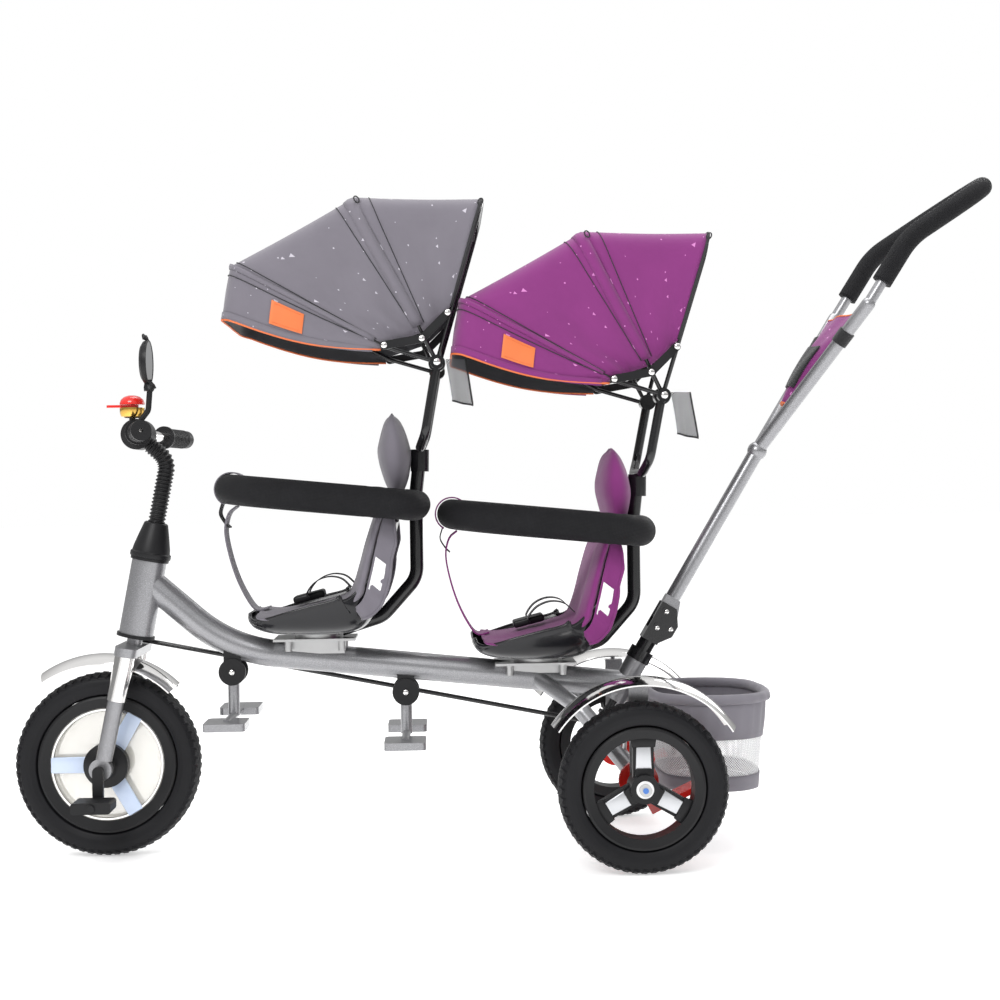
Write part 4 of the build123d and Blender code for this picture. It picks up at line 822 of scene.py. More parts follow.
canopy_rows = {}
for seat, finish, slot_name in (("front", "front_cloth", "grey_fabric"),
        ("rear", "rear_cloth", "purple_fabric")):
    seed = 0.6 if seat == "front" else 2.9
    back = in_place(seat, between(rear_hoop, mid_hoop, 18, 5.5, 3.0, seed, 3.0))
    fore = in_place(seat, between(mid_hoop, front_hoop, 20, 4.5, 4.2, seed + 1.7, 4.0))
    drop = in_place(seat, between(front_hoop, hem_hoop(), 12, -2.0, 2.0, seed + 3.1, 2.0))
    canopy_rows[seat] = (back, fore, drop)
    rear_panel = cloth_sheet(seat + "_canopy_rear_panel", back, finish, "painted_shade_lining", "frame")
    front_panel = cloth_sheet(seat + "_canopy_front_panel", fore, finish, "painted_shade_lining", seat + "_hood_middle")
    visor = cloth_sheet(seat + "_canopy_visor_cloth", drop, finish, "painted_shade_lining", seat + "_hood_front")
    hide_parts(seat + "_canopy_fabric")
    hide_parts(seat + "_canopy_visor")
    columns = list(range(1, len(drop[0]) - 1))
    hem_line = [drop[-1][j] for j in range(len(drop[-1]))]
    piping = sweep(seat + "_visor_piping", resample(hem_line, 0.006), 0.0017, "orange_piping",
                   seat + "_hood_front", sides=8)
    fold = strip_on(seat + "_visor_hem", drop, len(drop) - 2, columns, 5.5, 1.0, finish,
            seat + "_hood_front")
    front_seam = strip_on(seat + "_front_bow_seam", drop, 0, columns, 4.0, 1.2, finish,
            seat + "_hood_front",
                          bulge=1.0)
    middle_seam = strip_on(seat + "_middle_bow_sleeve", fore, 1, columns, 9.0, 0.9, finish,
            seat + "_hood_middle",
                           bulge=1.6)
    rear_edge = sweep(seat + "_rear_hem_piping", resample([back[0][j] for j in range(len(back[0]))], 0.006),
            0.0024,
                      "elastic", "frame", sides=8)
    made_pieces = (rear_panel, front_panel, visor)
    for piece in (rear_panel, front_panel):
        piece.parent = None
        if "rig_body" in piece:
            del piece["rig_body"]
    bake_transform(rear_panel)
    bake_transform(front_panel)
    print(seat, "canopy area", round(sum(p["cut"] for p in made_pieces), 3), "m2")

# %% [markdown]
# Small things finish a canopy: a blank stitched patch on the visor, seam lines beside the bows, elastic
# loops at the corners, domed rivet heads on the folding stays, and a piece of netting that hangs down
# behind the hub. The patch is cut from the visor's own surface, so that it lies on it.
# %% Canopy trim
def on_rows(rows, i, j):
    """A point and outward normal at a fractional row and column of a sheet."""
    i0, j0 = int(i), int(j)
    a, b, c, d = rows[i0][j0], rows[i0][j0 + 1], rows[i0 + 1][j0], rows[i0 + 1][j0 + 1]
    u, v = j - j0, i - i0
    point = (a * (1 - u) + b * u) * (1 - v) + (c * (1 - u) + d * u) * v
    normal = (b - a).cross(c - a).normalized()
    if normal.dot(point - rows_centre(rows)) < 0:
        normal = -normal
    return point, normal


def surface_patch(name, rows, i_range, j_range, lift, finish, body, cells=(6, 10), thick=1.0,
        bulge=0.0):
    out = []
    for a in range(cells[0] + 1):
        line = []
        for b in range(cells[1] + 1):
            u, v = a / cells[0], b / cells[1]
            point, normal = on_rows(rows, i_range[0] + (i_range[1] - i_range[0]) * u,
                                    j_range[0] + (j_range[1] - j_range[0]) * v)
            puff = bulge * math.sin(math.pi * u) * math.sin(math.pi * v)
            line.append(point + normal * ((lift + puff) / 1000))
        out.append(line)
    made = link_piece(name, grid_mesh(name, out), finish, None)
    apply_modifier(made, "SOLIDIFY", thickness=thick / 1000, offset=0.0)
    apply_modifier(made, "BEVEL", width=thick / 3000, segments=2, limit_method="ANGLE")
    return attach(made, body)


def dome(name, centre, out, radius, finish, body, tall=0.45):
    profile = [(-0.8, radius * 0.96), (0.0, radius)]
    profile += [(radius * tall * math.sin(t), radius * math.cos(t)) for t in (0.3, 0.6, 0.9, 1.2, 1.5)]
    profile.append((radius * tall, 0.01))
    profile.insert(0, (-0.8, 0.01))
    return turned(name, centre, out, profile, finish, body, steps=24)


for seat, slot_name in (("front", "grey_fabric"), ("rear", "purple_fabric")):
    back, fore, drop = canopy_rows[seat]
    patch_body = seat + "_hood_front"
    surface_patch(seat + "_canopy_patch", drop, (3.3, 9.4), (9.6, 13.6), 1.9, "orange_leather", patch_body,
                  bulge=0.5)
    stitch = []
    for i_at, j_span in ((3.9, (10.0, 13.2)), (8.8, (10.0, 13.2))):
        stitch.append([on_rows(drop, i_at,
                j_span[0] + (j_span[1] - j_span[0]) * k / 14) for k in range(15)])
    for index, line in enumerate(stitch):
        path = [p + n * 0.0027 for p, n in line]
        sweep(f"{seat}_patch_stitch_{index}", path, 0.00045, "orange_piping", patch_body,
                sides=6)
    for label, rows, row_at, body in (("rear", back, 16, seat + "_hood_middle"),
            ("fore", fore, 3, seat + "_hood_middle"),
                                      ("visor", fore, 19, seat + "_hood_front"),
                                        ("brow", drop, 2, seat + "_hood_front")):
        path = []
        for j in range(1, len(rows[row_at]) - 2):
            p, n = on_rows(rows, row_at, j)
            path.append(p + n * 0.0009)
        sweep(f"{seat}_seam_{label}", resample(path, 0.009), 0.0007, "elastic", body, sides=6)
    for tag, row, body in (("rear", back[0], "frame"), ("middle", back[-1], seat + "_hood_middle")):
        for side, at_col in (("left", STEPS_LEG + 3), ("right", len(row) - STEPS_LEG - 4)):
            p = row[at_col]
            out_dir = Vector((0.25 if tag == "rear" else -0.35, -0.35 if side == "left" else 0.35,
                    1)).normalized()
            ring = []
            for k in range(17):
                a = 2 * math.pi * k / 16
                ring.append(p + out_dir * (0.0055 + 0.0052 * math.cos(a)) + Vector((1, 0,
                        0)) * 0.0038 * math.sin(a))
            sweep(f"{seat}_{tag}_loop_{side}", ring, 0.0011, "elastic", body, sides=8,
                    ends=False)
    for side in (-1, 1):
        name_side = "left" if side < 0 else "right"
        for tag, spot, body in (("front_pin", (-82, 25), seat + "_hood_front"),
                ("rear_pin", (18, 75), "frame")):
            dome(f"{seat}_{tag}_{name_side}", hub(seat, *spot, side * 144.4), (0, side, 0), 5.2, "chrome",
                    body)
        dome(f"{seat}_knee_{name_side}", hub(seat, -23, 35, side * 142.6), (0, side, 0), 5.2, "chrome",
             seat + "_hood_stay_front")
        dome(f"{seat}_hub_rivet_{name_side}", hub(seat, 0, 0, side * 121.7), (0, side, 0), 6.0, "chrome",
                "frame")
    net = []
    for i in range(11):
        t = i / 10
        line = []
        for j in range(13):
            u = j / 12
            along = 14 + 32 * u + 10 * t
            rise = 6 - 66 * t - 8 * u * t
            across = -(92 + 6 * math.sin(u * 9) * t + 5 * math.sin(u * 5 + t * 3))
            line.append(hub(seat, along, rise, across))
        net.append(line)
    flap = link_piece(seat + "_canopy_net_flap", grid_mesh(seat + "_canopy_net_flap", net), "grey_net",
            None)
    flap["flat"] = (0.06, 0.08)
    flap["cut"] = surface_area(flap)
    flap["flat"] = (max(0.05, flap["cut"] / 0.07), 0.0705)
    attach(flap, "frame")
    rim = sweep(seat + "_net_flap_hem", resample([row[-1] for row in net] + list(reversed(net[-1][:-1])),
            0.004), 0.0016,
                "elastic", "frame", sides=8)
print("canopy trim done")

# %% [markdown]
# A seat is a glossy moulded pan with a padded cloth cover pulled over it. The cover is one long cushion
# that climbs the backrest. Its sides are gathered by an elastic hem. A separate lens-shaped head pillow
# ties on above, with one seam down its middle. Each pad is built over a side profile and crowned across.
# %% Seat covers
COVER_TOP_LINE = [(-93, 46), (-60, 44), (-20, 51), (20, 60), (52, 70), (62, 84), (71, 110), (82, 150),
        (95, 190),
                  (108, 225), (120, 243)]
COVER_LOW_LINE = [(-89, 38), (-56, 30), (-20, 32), (22, 38), (62, 48), (84, 66), (94, 100), (106, 150),
        (117, 192),
                  (124, 226), (128, 241)]


def seat_pad(seat, finish):
    """A crowned pad between two side profiles; its edges pull in and its hem ripples."""
    top = resample([Vector((a, 0, b)) for a, b in COVER_TOP_LINE], 8)
    low = resample([Vector((a, 0, b)) for a, b in COVER_LOW_LINE], 8)
    count = 44
    top = [top[round(k * (len(top) - 1) / (count - 1))] for k in range(count)]
    low = [low[round(k * (len(low) - 1) / (count - 1))] for k in range(count)]
    rows = []
    ring = 40
    for i in range(count):
        t = i / (count - 1)
        middle, half_thick = (top[i] + low[i]) / 2, (top[i] - low[i]) / 2
        width = 121.0 if t < 0.86 else 121.0 - 66.0 * ((t - 0.86) / 0.14) ** 1.4
        line = []
        for k in range(ring):
            a = 2 * math.pi * k / ring
            c, s = math.cos(a), math.sin(a)
            across = math.copysign(abs(c) ** 0.55, c) * width
            lift = math.copysign(abs(s) ** 0.8, s)
            crown = 1.0 + 0.25 * (1 - abs(c)) if s > 0 else 1.0
            edge = abs(c) ** 6
            ripple = 1.8 * edge * math.sin(t * 62 + (1.5 if c > 0 else 0))
            channel = -3.2 * math.exp(-((abs(across) - 62) / 4.0) ** 2) if s > 0.2 else 0.0
            p = middle + half_thick * lift * crown * 0.97
            normal = (top[i] - low[i]).normalized()
            p = p + normal * (channel + 1.2 * noise.noise(Vector((p.x * 0.03, across * 0.03, p.z * 0.03))))
            line.append(on_seat(seat, p.x, across + ripple * (1 if c > 0 else -1), p.z))
        rows.append(line)
    mesh = grid_mesh(seat + "_seat_pad", rows, closed_across=True)
    made = link_piece(seat + "_seat_pad", mesh, finish, None)
    clear_selection()
    made.select_set(True)
    bpy.context.view_layer.objects.active = made
    bpy.ops.object.mode_set(mode="EDIT")
    bpy.ops.mesh.select_all(action="DESELECT")
    bpy.ops.mesh.select_non_manifold()
    bpy.ops.mesh.edge_face_add()
    bpy.ops.object.mode_set(mode="OBJECT")
    apply_modifier(outward(made), "SUBSURF", levels=1, render_levels=1)
    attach(made, "frame")
    return made, rows, top, low


def side_skirt(seat, finish, top, low):
    """The cover's cloth side along the backrest, down to its gathered hem."""
    pieces = []
    for side in (-1, 1):
        line_rows = []
        for i in range(19, 42):
            t = (i - 19) / 22
            line = []
            for k in range(9):
                u = k / 8
                spread = 6.0 + 30.0 * math.sin(math.pi * min(1.0, 0.15 + t * 0.9)) ** 0.8
                run = (low[i] - top[i]).normalized()
                p = low[i] + run * (spread * u - 4)
                wave = (1.0 + 2.6 * u) * math.sin(i * 1.9 + u) * (0.4 + 0.6 * (1 - t)) * 0.7
                across = 119.0 - 3.0 * u + wave
                if i > 36:
                    across -= 66.0 * ((i - 36) / 7) ** 1.3
                line.append(on_seat(seat, p.x, side * across, p.z))
            line_rows.append(line)
        name = f"{seat}_cover_side_{'left' if side < 0 else 'right'}"
        made = link_piece(name, grid_mesh(name, line_rows), finish, None)
        made["cut"] = surface_area(made)
        made["flat"] = (0.23, max(0.03, made["cut"] / 0.2))
        apply_modifier(made, "SOLIDIFY", thickness=0.0012, offset=0.0)
        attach(made, "frame")
        hem = sweep(name + "_hem", resample([row[-1] for row in line_rows], 0.005), 0.0022, finish, "frame",
                    sides=8)
        pieces.append(made)
        if side < 0:
            surface_patch(seat + "_cover_label", line_rows, (5.0, 11.5), (0.8, 5.6), 1.6,
                          "label", "frame", cells=(8, 4), thick=0.6)
    return pieces


def pillow(seat, finish):
    rows = []
    tall, ring = 26, 36
    for i in range(tall + 1):
        t = i / tall
        v = -1 + 2 * t
        half_wide = 88.0 * (1 - abs(v) ** 3.2) ** 0.5 + 4
        thick = 33.0 * (1 - v * v) ** 0.62 + 1.0
        rise = (297 if seat == "front" else 281) + v * 63 - 4 * math.cos(t * 9)
        along = 131 - 3 * v
        line = []
        for k in range(ring):
            a = 2 * math.pi * k / ring
            c, s = math.cos(a), math.sin(a)
            across = math.copysign(abs(c) ** 0.75, c) * half_wide
            bulge = math.copysign(abs(s) ** 0.85, s) * thick * 0.78
            seam = -2.4 * math.exp(-(across / 3.5) ** 2)
            bulge += math.copysign(seam, s) * (-1 if seam > 0 else 1) * (1 - abs(v)) if abs(s) > 0.3 else 0
            fold = 1.1 * noise.noise(Vector((across * 0.05, v * 3.0, a)))
            line.append(on_seat(seat, along - bulge + fold, across, rise + 5 * abs(c) ** 8 * v))
        rows.append(line)
    name = seat + "_head_pillow"
    mesh = grid_mesh(name, rows, closed_across=True)
    made = link_piece(name, mesh, finish, None)
    clear_selection()
    made.select_set(True)
    bpy.context.view_layer.objects.active = made
    bpy.ops.object.mode_set(mode="EDIT")
    bpy.ops.mesh.select_all(action="DESELECT")
    bpy.ops.mesh.select_non_manifold()
    bpy.ops.mesh.edge_face_add()
    bpy.ops.object.mode_set(mode="OBJECT")
    apply_modifier(outward(made), "SUBSURF", levels=1, render_levels=1)
    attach(made, "frame")
    edge = [on_seat(seat, 131 - 3 * math.sin(a), 88.0 * math.copysign(abs(math.cos(a)) ** 0.62,
            math.cos(a)),
                    (297 if seat == "front" else 281) + 64 * math.sin(a)) for a in (2 * math.pi * k / 60 for k in range(61))]
    sweep(name + "_piping", edge, 0.0021, finish, "frame", sides=8, ends=False)
    return made


for seat, slot_name in (("front", "grey_fabric"), ("rear", "purple_fabric")):
    finish = seat + "_seat_cloth"
    pad, rows, top, low = seat_pad(seat, finish)
    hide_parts(seat + "_seat_cover")
    side_skirt(seat, finish, top, low)
    pillow(seat, finish)
print("seat covers done")

# %% [markdown]
# The safety bar is a thick foam sleeve in a ribbed knit over a bent steel tube. Sweeping one ring of points
# along the same rounded route as the tube gives it a UV map that runs along the foam, for its knit.
# %% Safety bars
BAR_ROUTE = [(164, -46, 215), (164, -150, 215), (-136, -150, 245), (-136, 150, 245), (164, 150, 215),
        (164, 46, 215)]
for seat in ("front", "rear"):
    route = [on_seat(seat, a, y, z) for a, y, z in BAR_ROUTE]
    line = even(rounded(route, [0.052, 0.125, 0.125, 0.052], 14), 0.005)

    def knit(s):
        ribbed = 0.00035 * math.sin(s * 2 * math.pi / 0.0042) if s < 0.16 or s > 0.92 else 0.0
        return 0.0243 + ribbed

    bar = sweep(seat + "_foam_bar", line, knit, "foam", "frame", sides=40)
    if seat == "front":
        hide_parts("safety_bars")
print("foam bars", len(line), "rings")

# %% [markdown]
# From the bar's middle a cloth strap runs down to the front of the seat, so that a child cannot slide out.
# It is flat webbing: a strip of cloth with a real width, looped over the foam and sewn to itself.
# %% Crotch straps and seat belts
def strap(name, line, half, finish, body, thick=2.0, across=Vector((0, 1, 0)), taper=None):
    rows = []
    for i, p in enumerate(line):
        width = half * (taper(i / (len(line) - 1)) if taper else 1.0)
        rows.append([p + across * (width * u / 1000) for u in (-1, -0.92, -0.5, 0, 0.5, 0.92, 1)])
    made = link_piece(name, grid_mesh(name, rows), finish, None)
    apply_modifier(made, "SOLIDIFY", thickness=thick / 1000, offset=0.0)
    apply_modifier(made, "BEVEL", width=0.0004, segments=2, limit_method="ANGLE")
    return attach(made, body)


for seat, slot_name in (("front", "grey_fabric"), ("rear", "purple_fabric")):
    finish = seat + "_seat_cloth"
    drop_line = resample([on_seat(seat, *p) for p in ((-78, 0, 50), (-96, 0, 47), (-110, 0, 62),
            (-128, 0, 98), (-141, 0, 140),
                                                      (-147, 0, 178), (-141, 0, 205), (-128, 0, 217))],
                                        0.006)
    strip = strap(seat + "_crotch_strap", drop_line, 21, finish, "frame", 2.6,
                  taper=lambda t: 1.0 + 0.35 * (1 - t) ** 2)
    loop = [on_seat(seat, -136 + 27.2 * math.sin(a), 0, 245 + 27.2 * math.cos(a)) for a in
            (math.radians(d) for d in range(-150, 151, 10))]
    over = strap(seat + "_strap_loop", loop, 20, finish, "frame", 2.2)
    back_line = resample([on_seat(seat, *p) for p in ((-152, 0, 222), (-156, 0, 205), (-148, 0, 190),
            (-140, 0, 182))], 0.004)
    tab = strap(seat + "_strap_tab", back_line, 17, "webbing", "frame", 2.0)
    if seat == "front":
        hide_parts("seat_straps")
    for side in (-1, 1):
        name_side = "left" if side < 0 else "right"
        belt_line = resample([on_seat(seat, *p) for p in (
            (60, side * 58, 84), (44, side * 52, 98), (22, side * 46, 101), (0, side * 40, 92),
                (-14, side * 30, 74),
            (-10, side * 18, 66))], 0.005)
        strap(f"{seat}_belt_{name_side}", belt_line, 12, "webbing", "frame", 1.6)
    clear_selection()
    bpy.ops.mesh.primitive_cube_add(size=1)
    buckle = bpy.context.object
    buckle.name = seat + "_belt_buckle"
    buckle.data.transform(Matrix.Translation(on_seat(seat, -12, 0, 67)) @ Matrix.Rotation(math.radians(-14),
            4, "Y")
                          @ Matrix.Diagonal((0.052, 0.046, 0.012, 1)))
    apply_modifier(buckle, "BEVEL", width=0.004, segments=3)
    bpy.ops.object.shade_smooth_by_angle(angle=math.radians(35))
    buckle.data.materials.append(finishes["black_plastic"])
    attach(buckle, "frame")
print("straps done")

# %% [markdown]
# A tyre is a turned profile: bead, sidewall, shoulder and crown. Real tread needs real edges at this size,
# so the shoulder carries a ring of small blocks, made in a loop round the tyre.
# %% Tyres
def tyre_piece(name, node, centre, radius, rim, width, body, blocks):
    half = width / 2
    profile = [(-half * 0.55, rim + 0.3), (-half * 0.80, rim + 3), (-half * 0.90, rim + 8),
               (-half * 0.985, rim + (radius - rim) * 0.42), (-half * 0.96, rim + (radius - rim) * 0.62),
               (-half * 0.90, rim + (radius - rim) * 0.72), (-half * 0.86, rim + (radius - rim) * 0.735),
               (-half * 0.80, rim + (radius - rim) * 0.83), (-half * 0.62, rim + (radius - rim) * 0.925),
               (-half * 0.36, rim + (radius - rim) * 0.965), (-half * 0.34, rim + (radius - rim) * 0.935),
               (-half * 0.27, rim + (radius - rim) * 0.935), (-half * 0.25, rim + (radius - rim) * 0.98),
               (-half * 0.06, rim + (radius - rim) * 0.99), (-half * 0.045, rim + (radius - rim) * 0.955)]
    profile = profile + [(-a, r) for a, r in reversed(profile)]
    profile.append(profile[0])
    made = turned(name, centre, (0, 1, 0), profile, "tyre_rubber", body, steps=144)
    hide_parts(node)
    work = bmesh.new()
    for index in range(blocks):
        for side in (-1, 1):
            a = 2 * math.pi * (index + (0.5 if side > 0 else 0)) / blocks
            turn = Matrix.Rotation(a, 4, "Y")
            block = bmesh.ops.create_cube(work, size=1)["verts"]
            shape = turn @ Matrix.Translation((0, side * half * 0.60 / 1000,
                    (rim + (radius - rim) * 0.878) / 1000))
            shape = shape @ Matrix.Rotation(side * -0.42, 4, "X") @ Matrix.Rotation(side * 0.35, 4, "Z")
            shape = shape @ Matrix.Diagonal((radius * 3.9 / blocks / 1000, half * 0.56 / 1000, 0.0042, 1))
            for vertex in block:
                vertex.co = centre + (shape @ vertex.co)
    mesh = bpy.data.meshes.new(name + "_tread")
    work.to_mesh(mesh)
    work.free()
    mesh.uv_layers.new(name="UVMap")
    tread = link_piece(name + "_tread", mesh, "tyre_rubber", None)
    apply_modifier(tread, "BEVEL", width=0.0005, segments=1)
    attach(tread, body)
    return made


tyre_piece("front_road_tyre", "front_tyre", st(0, 0, 150), 149.6, 112, 50, "front_road_wheel", 64)
for name_side, side in (("left", -1), ("right", 1)):
    tyre_piece(f"rear_road_tyre_{name_side}", f"rear_tyre_{name_side}", st(852, side * 215, 131.5), 131.1,
            94, 45,
               f"{name_side}_rear_wheel", 56)
print("tyres done")

# %% [markdown]
# The wheels carry bright inserts. Each spoke starts as a box whose outer end is narrowed and whose edges are
# bevelled. One function makes all of them, a third of a turn apart, so that they can't differ.
# %% Wheel inserts
def spoke_box(name, centre, angle, inner, outer, wide, thick, across, finish, body, narrow=1.0):
    clear_selection()
    bpy.ops.mesh.primitive_cube_add(size=1)
    spoke = bpy.context.object
    spoke.name = name
    for vertex in spoke.data.vertices:
        if vertex.co.z > 0:
            vertex.co.x *= narrow
    turn = Matrix.Rotation(math.radians(90 - angle), 4, "Y")
    spoke.data.transform(Matrix.Translation(centre + Vector((0, across / 1000,
            0))) @ turn @ Matrix.Translation(
        (0, 0, (inner + outer) / 2000)) @ Matrix.Diagonal((wide / 1000, thick / 1000,
            (outer - inner) / 1000, 1)))
    apply_modifier(spoke, "BEVEL", width=0.0016, segments=3)
    bpy.ops.object.shade_smooth_by_angle(angle=math.radians(35))
    spoke.data.materials.append(finishes[finish])
    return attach(spoke, body)


for index, angle in enumerate((60, 180, 300)):
    for side in (-1, 1):
        spoke_box(f"front_spoke_{index}_{side + 1}", st(0, 0, 150), angle, 33, 91, 27, 3.2, side * 16.2,
                "spoke_plastic",
                  "front_road_wheel", 0.96)
for side in (-1, 1):
    turned(f"front_bright_ring_{side + 1}", st(0, side * 15.2, 150), (0, side, 0),
           [(0, 87), (0, 91.4), (1.6, 90.8), (1.6, 88), (0, 87)], "chrome", "front_road_wheel",
               steps=72)
    turned(f"front_rim_lip_{side + 1}", st(0, side * 16.9, 150), (0, side, 0),
           [(0, 92.4), (0, 111.2), (2.2, 111.0), (3.4, 108), (2.0, 101), (0.8, 95), (0.2, 92.4), (0, 92.4)],
           "black_plastic", "front_road_wheel", steps=96)
    turned(f"front_hub_face_{side + 1}", st(0, side * 30, 150), (0, side, 0),
           [(-2, 35.4), (0.4, 35.2), (3.4, 31), (4.6, 24), (8.0, 20), (14.0, 17.5), (16.0, 13), (16.2, 6.3),
               (-2, 6.3)],
           "black_plastic", "front_road_wheel", steps=60)
for name_side, side in (("left", -1), ("right", 1)):
    wheel, body = st(852, side * 215, 131.5), f"{name_side}_rear_wheel"
    for index, angle in enumerate((90, 210, 330)):
        spoke_box(f"rear_insert_{name_side}_{index}", wheel, angle, 26, 66, 25, 3.0, side * 9.6,
                "silver_insert", body,
                  0.88)
        spoke_box(f"rear_foot_{name_side}_{index}", wheel, angle, 62, 77.5, 36, 6.0, side * 9.4,
                "black_plastic", body,
                  1.12)
        spoke_box(f"rear_lobe_{name_side}_{index}", wheel, angle, 8, 30, 30, 7.0, side * 11.2,
                "black_plastic", body,
                  0.8)
    turned(f"rear_rim_lip_{name_side}", wheel + Vector((0, side * 0.018, 0)), (0, side, 0),
           [(0, 76.8), (0, 93.4), (2.0, 93.2), (3.2, 90), (1.8, 84), (0.6, 78.5), (0.2, 76.8), (0, 76.8)],
           "black_plastic", body, steps=96)
    turned(f"rear_washer_{name_side}", st(852, side * 241.0, 131.5), (0, side, 0),
           [(-0.4, 5.2), (-0.4, 13.5), (1.0, 13.0), (1.2, 9.7), (1.2, 5.2)], "label", "frame",
               steps=40)
    turned(f"rear_nut_insert_{name_side}", st(852, side * 249.3, 131.5), (0, side, 0),
           [(-1.0, 0.01), (-1.0, 4.6), (0.6, 4.4), (0.9, 0.01)], "blue_insert", "frame", steps=24)
print("wheels done")

# %% [markdown]
# The stem is hidden by a cone-shaped boot and a corrugated hose. The hose is one swept ring whose radius
# rises and falls every few millimetres, which is how such a hose is moulded.
# %% Steering boot, hose, bell and mirror
HEAD = math.radians(11.2)


def head(along, back=0.0, across=0.0):
    return st(5 + along * math.sin(HEAD) + back * math.cos(HEAD), across,
              150 + along * math.cos(HEAD) - back * math.sin(HEAD))


head_axis = Vector((math.sin(HEAD), 0, math.cos(HEAD)))
turned("steering_boot", head(0), head_axis,
              [(342.6, 29.6), (342.6, 32.6), (345, 33.2), (350, 33.0), (352, 30.8), (360, 29.6),
                  (380, 24.6), (396, 20.2),
               (399, 19.4), (401, 17.0), (401, 13.0), (396, 13.0), (380, 20.5), (350, 28.4), (342.6, 29.6)],
              "black_plastic", "steering", steps=64)
clamp = st(56, 0, 688)
neck = head(504.5)
toward = (clamp - neck).normalized()
hose_line = even(rounded([head(400.5), neck, clamp - toward * 0.027], 0.032, 14), 0.0011)
hose = sweep("corrugated_hose", hose_line, lambda s: 0.0128 + 0.0014 * math.sin(s * 2 * math.pi / 0.0062),
             "black_plastic", "steering", sides=40, ends=False)
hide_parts("stem_covers")
bell_middle = st(*[56 + 42 * (35 / 170) - 5, -70, 0])
turned("bell_cup", bell_middle, (0, 0, 1),
       [(0.01 + 712, 0.01), (712, 11), (714, 17.4), (719, 19.2), (726, 19.5), (728, 19.4), (728, 0.01)],
           "gold", "steering",
       steps=56)
turned("bell_dome", bell_middle, (0, 0, 1),
       [(732.9, 0.01), (732.9, 19.3), (735.5, 19.5), (741, 17.5), (745.4, 12.6), (747.6, 6.0), (748, 0.01)],
           "red_plastic",
       "steering", steps=56)
turned("bell_stand", bell_middle, (0, 0, 1), [(700, 5.0), (712.2, 5.0), (712.2, 0.01), (700, 0.01), (700,
        5.0)],
               "black_plastic", "steering", steps=24)
bar_run = (st(98, -205, 686) - st(56, -35, 688)).normalized()


def bar_spot(across):
    share = (abs(across) - 35) / 170
    return st(56 + 42 * share, across, 688 - 2 * share)


band = turned("bell_clamp", bar_spot(-70), bar_run,
              [(-6, 9.7), (-6, 13), (-5, 14), (5, 14), (6, 13), (6, 9.7), (-6, 9.7)], "black_plastic",
                  "steering",
              steps=40)
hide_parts("bell")
mirror_centre = st(88, -97, 798)
shell = turned("mirror_shell", mirror_centre, (1, 0, 0),
               [(4.6, 32.6), (5.4, 33.6), (5.2, 35.0), (2.0, 35.0), (-3.0, 33.4), (-7.0, 27), (-9.0, 15),
                   (-9.2, 0.01)],
               "black_plastic", "mirror", steps=64)
face = turned("mirror_glass", mirror_centre, (1, 0, 0),
        [(3.6, 0.01), (3.6, 33.2), (4.6, 33.2), (4.6, 0.01)],
              "mirror_glass", "mirror", steps=64)
turned("mirror_neck", st(93, -97, 757), (st(90, -97, 768) - st(93, -97, 757)),
              [(-2, 7.3), (-2, 10), (4, 9), (9, 6.5), (13, 6.0), (13, 0.01), (8, 0.01)], "black_plastic",
                  "mirror",
              steps=32)
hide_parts("mirror_head")
for index, side in enumerate((-1, 1)):
    ear = [mirror_centre + Vector((-0.002 * math.sin(a), side * 0.009 + 0.006 * math.cos(a) + side * 0.002,
                                   0.035 + 0.0075 * math.sin(a))) for a in (math.pi * k / 12 for k in range(13))]
    sweep(f"mirror_ear_{index}", ear, 0.0022, "black_plastic", "mirror", sides=8)
for side in (-1, 1):
    tag = "left" if side < 0 else "right"
    run = (bar_spot(side * 205) - bar_spot(side * 121)).normalized()
    for k in range(12):
        centre = bar_spot(side * (127 + 6.0 * k))
        turned(f"grip_rib_{tag}_{k}", centre, run, [(-1.3, 15.3), (-0.7, 16.3), (0.7, 16.3), (1.3, 15.3)],
                "black_plastic",
               "steering", steps=36)
print("steering trim done")

# %% [markdown]
# The rear basket is cloth on a wire ring: a gathered band at the rim, open netting below, and a plain band
# at the foot with a cloth floor. Each is a sheet round the same rounded outline at its own height.
# %% Basket
def basket_outline(height, inset, wave=0.0, count=96):
    t = (height - 82) / 170
    length, width, corner = 158 + 32 * t - 2 * inset, 212 + 32 * t - 2 * inset, 70 + 15 * t - inset
    points = []
    for k in range(count):
        a = 2 * math.pi * k / count
        cx, cy = length / 2 - corner, width / 2 - corner
        dx, dy = math.cos(a), math.sin(a)
        x = math.copysign(cx, dx) * min(1.0, abs(dx) * 2.2) + corner * dx
        y = math.copysign(cy, dy) * min(1.0, abs(dy) * 2.2) + corner * dy
        ripple = wave * math.sin(k * 2 * math.pi / 4.0)
        points.append(st(985 + x + dx * ripple, y + dy * ripple, height))
    return points


def basket_sheet(name, low, high, steps, finish, inset, wave, thick):
    rows = [basket_outline(low + (high - low) * i / steps, inset,
            wave * math.sin(math.pi * i / steps)) for i in
            range(steps + 1)]
    made = link_piece(name, grid_mesh(name, rows, closed_across=True), finish, None)
    made["cut"] = surface_area(made)
    girth = sum((b - a).length for a, b in zip(rows[0], rows[0][1:] + rows[0][:1]))
    made["flat"] = (girth, max(made["cut"] / girth * 1.01, 0.011))
    if thick:
        apply_modifier(made, "SOLIDIFY", thickness=thick / 1000, offset=0.0)
    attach(made, "frame")
    return made


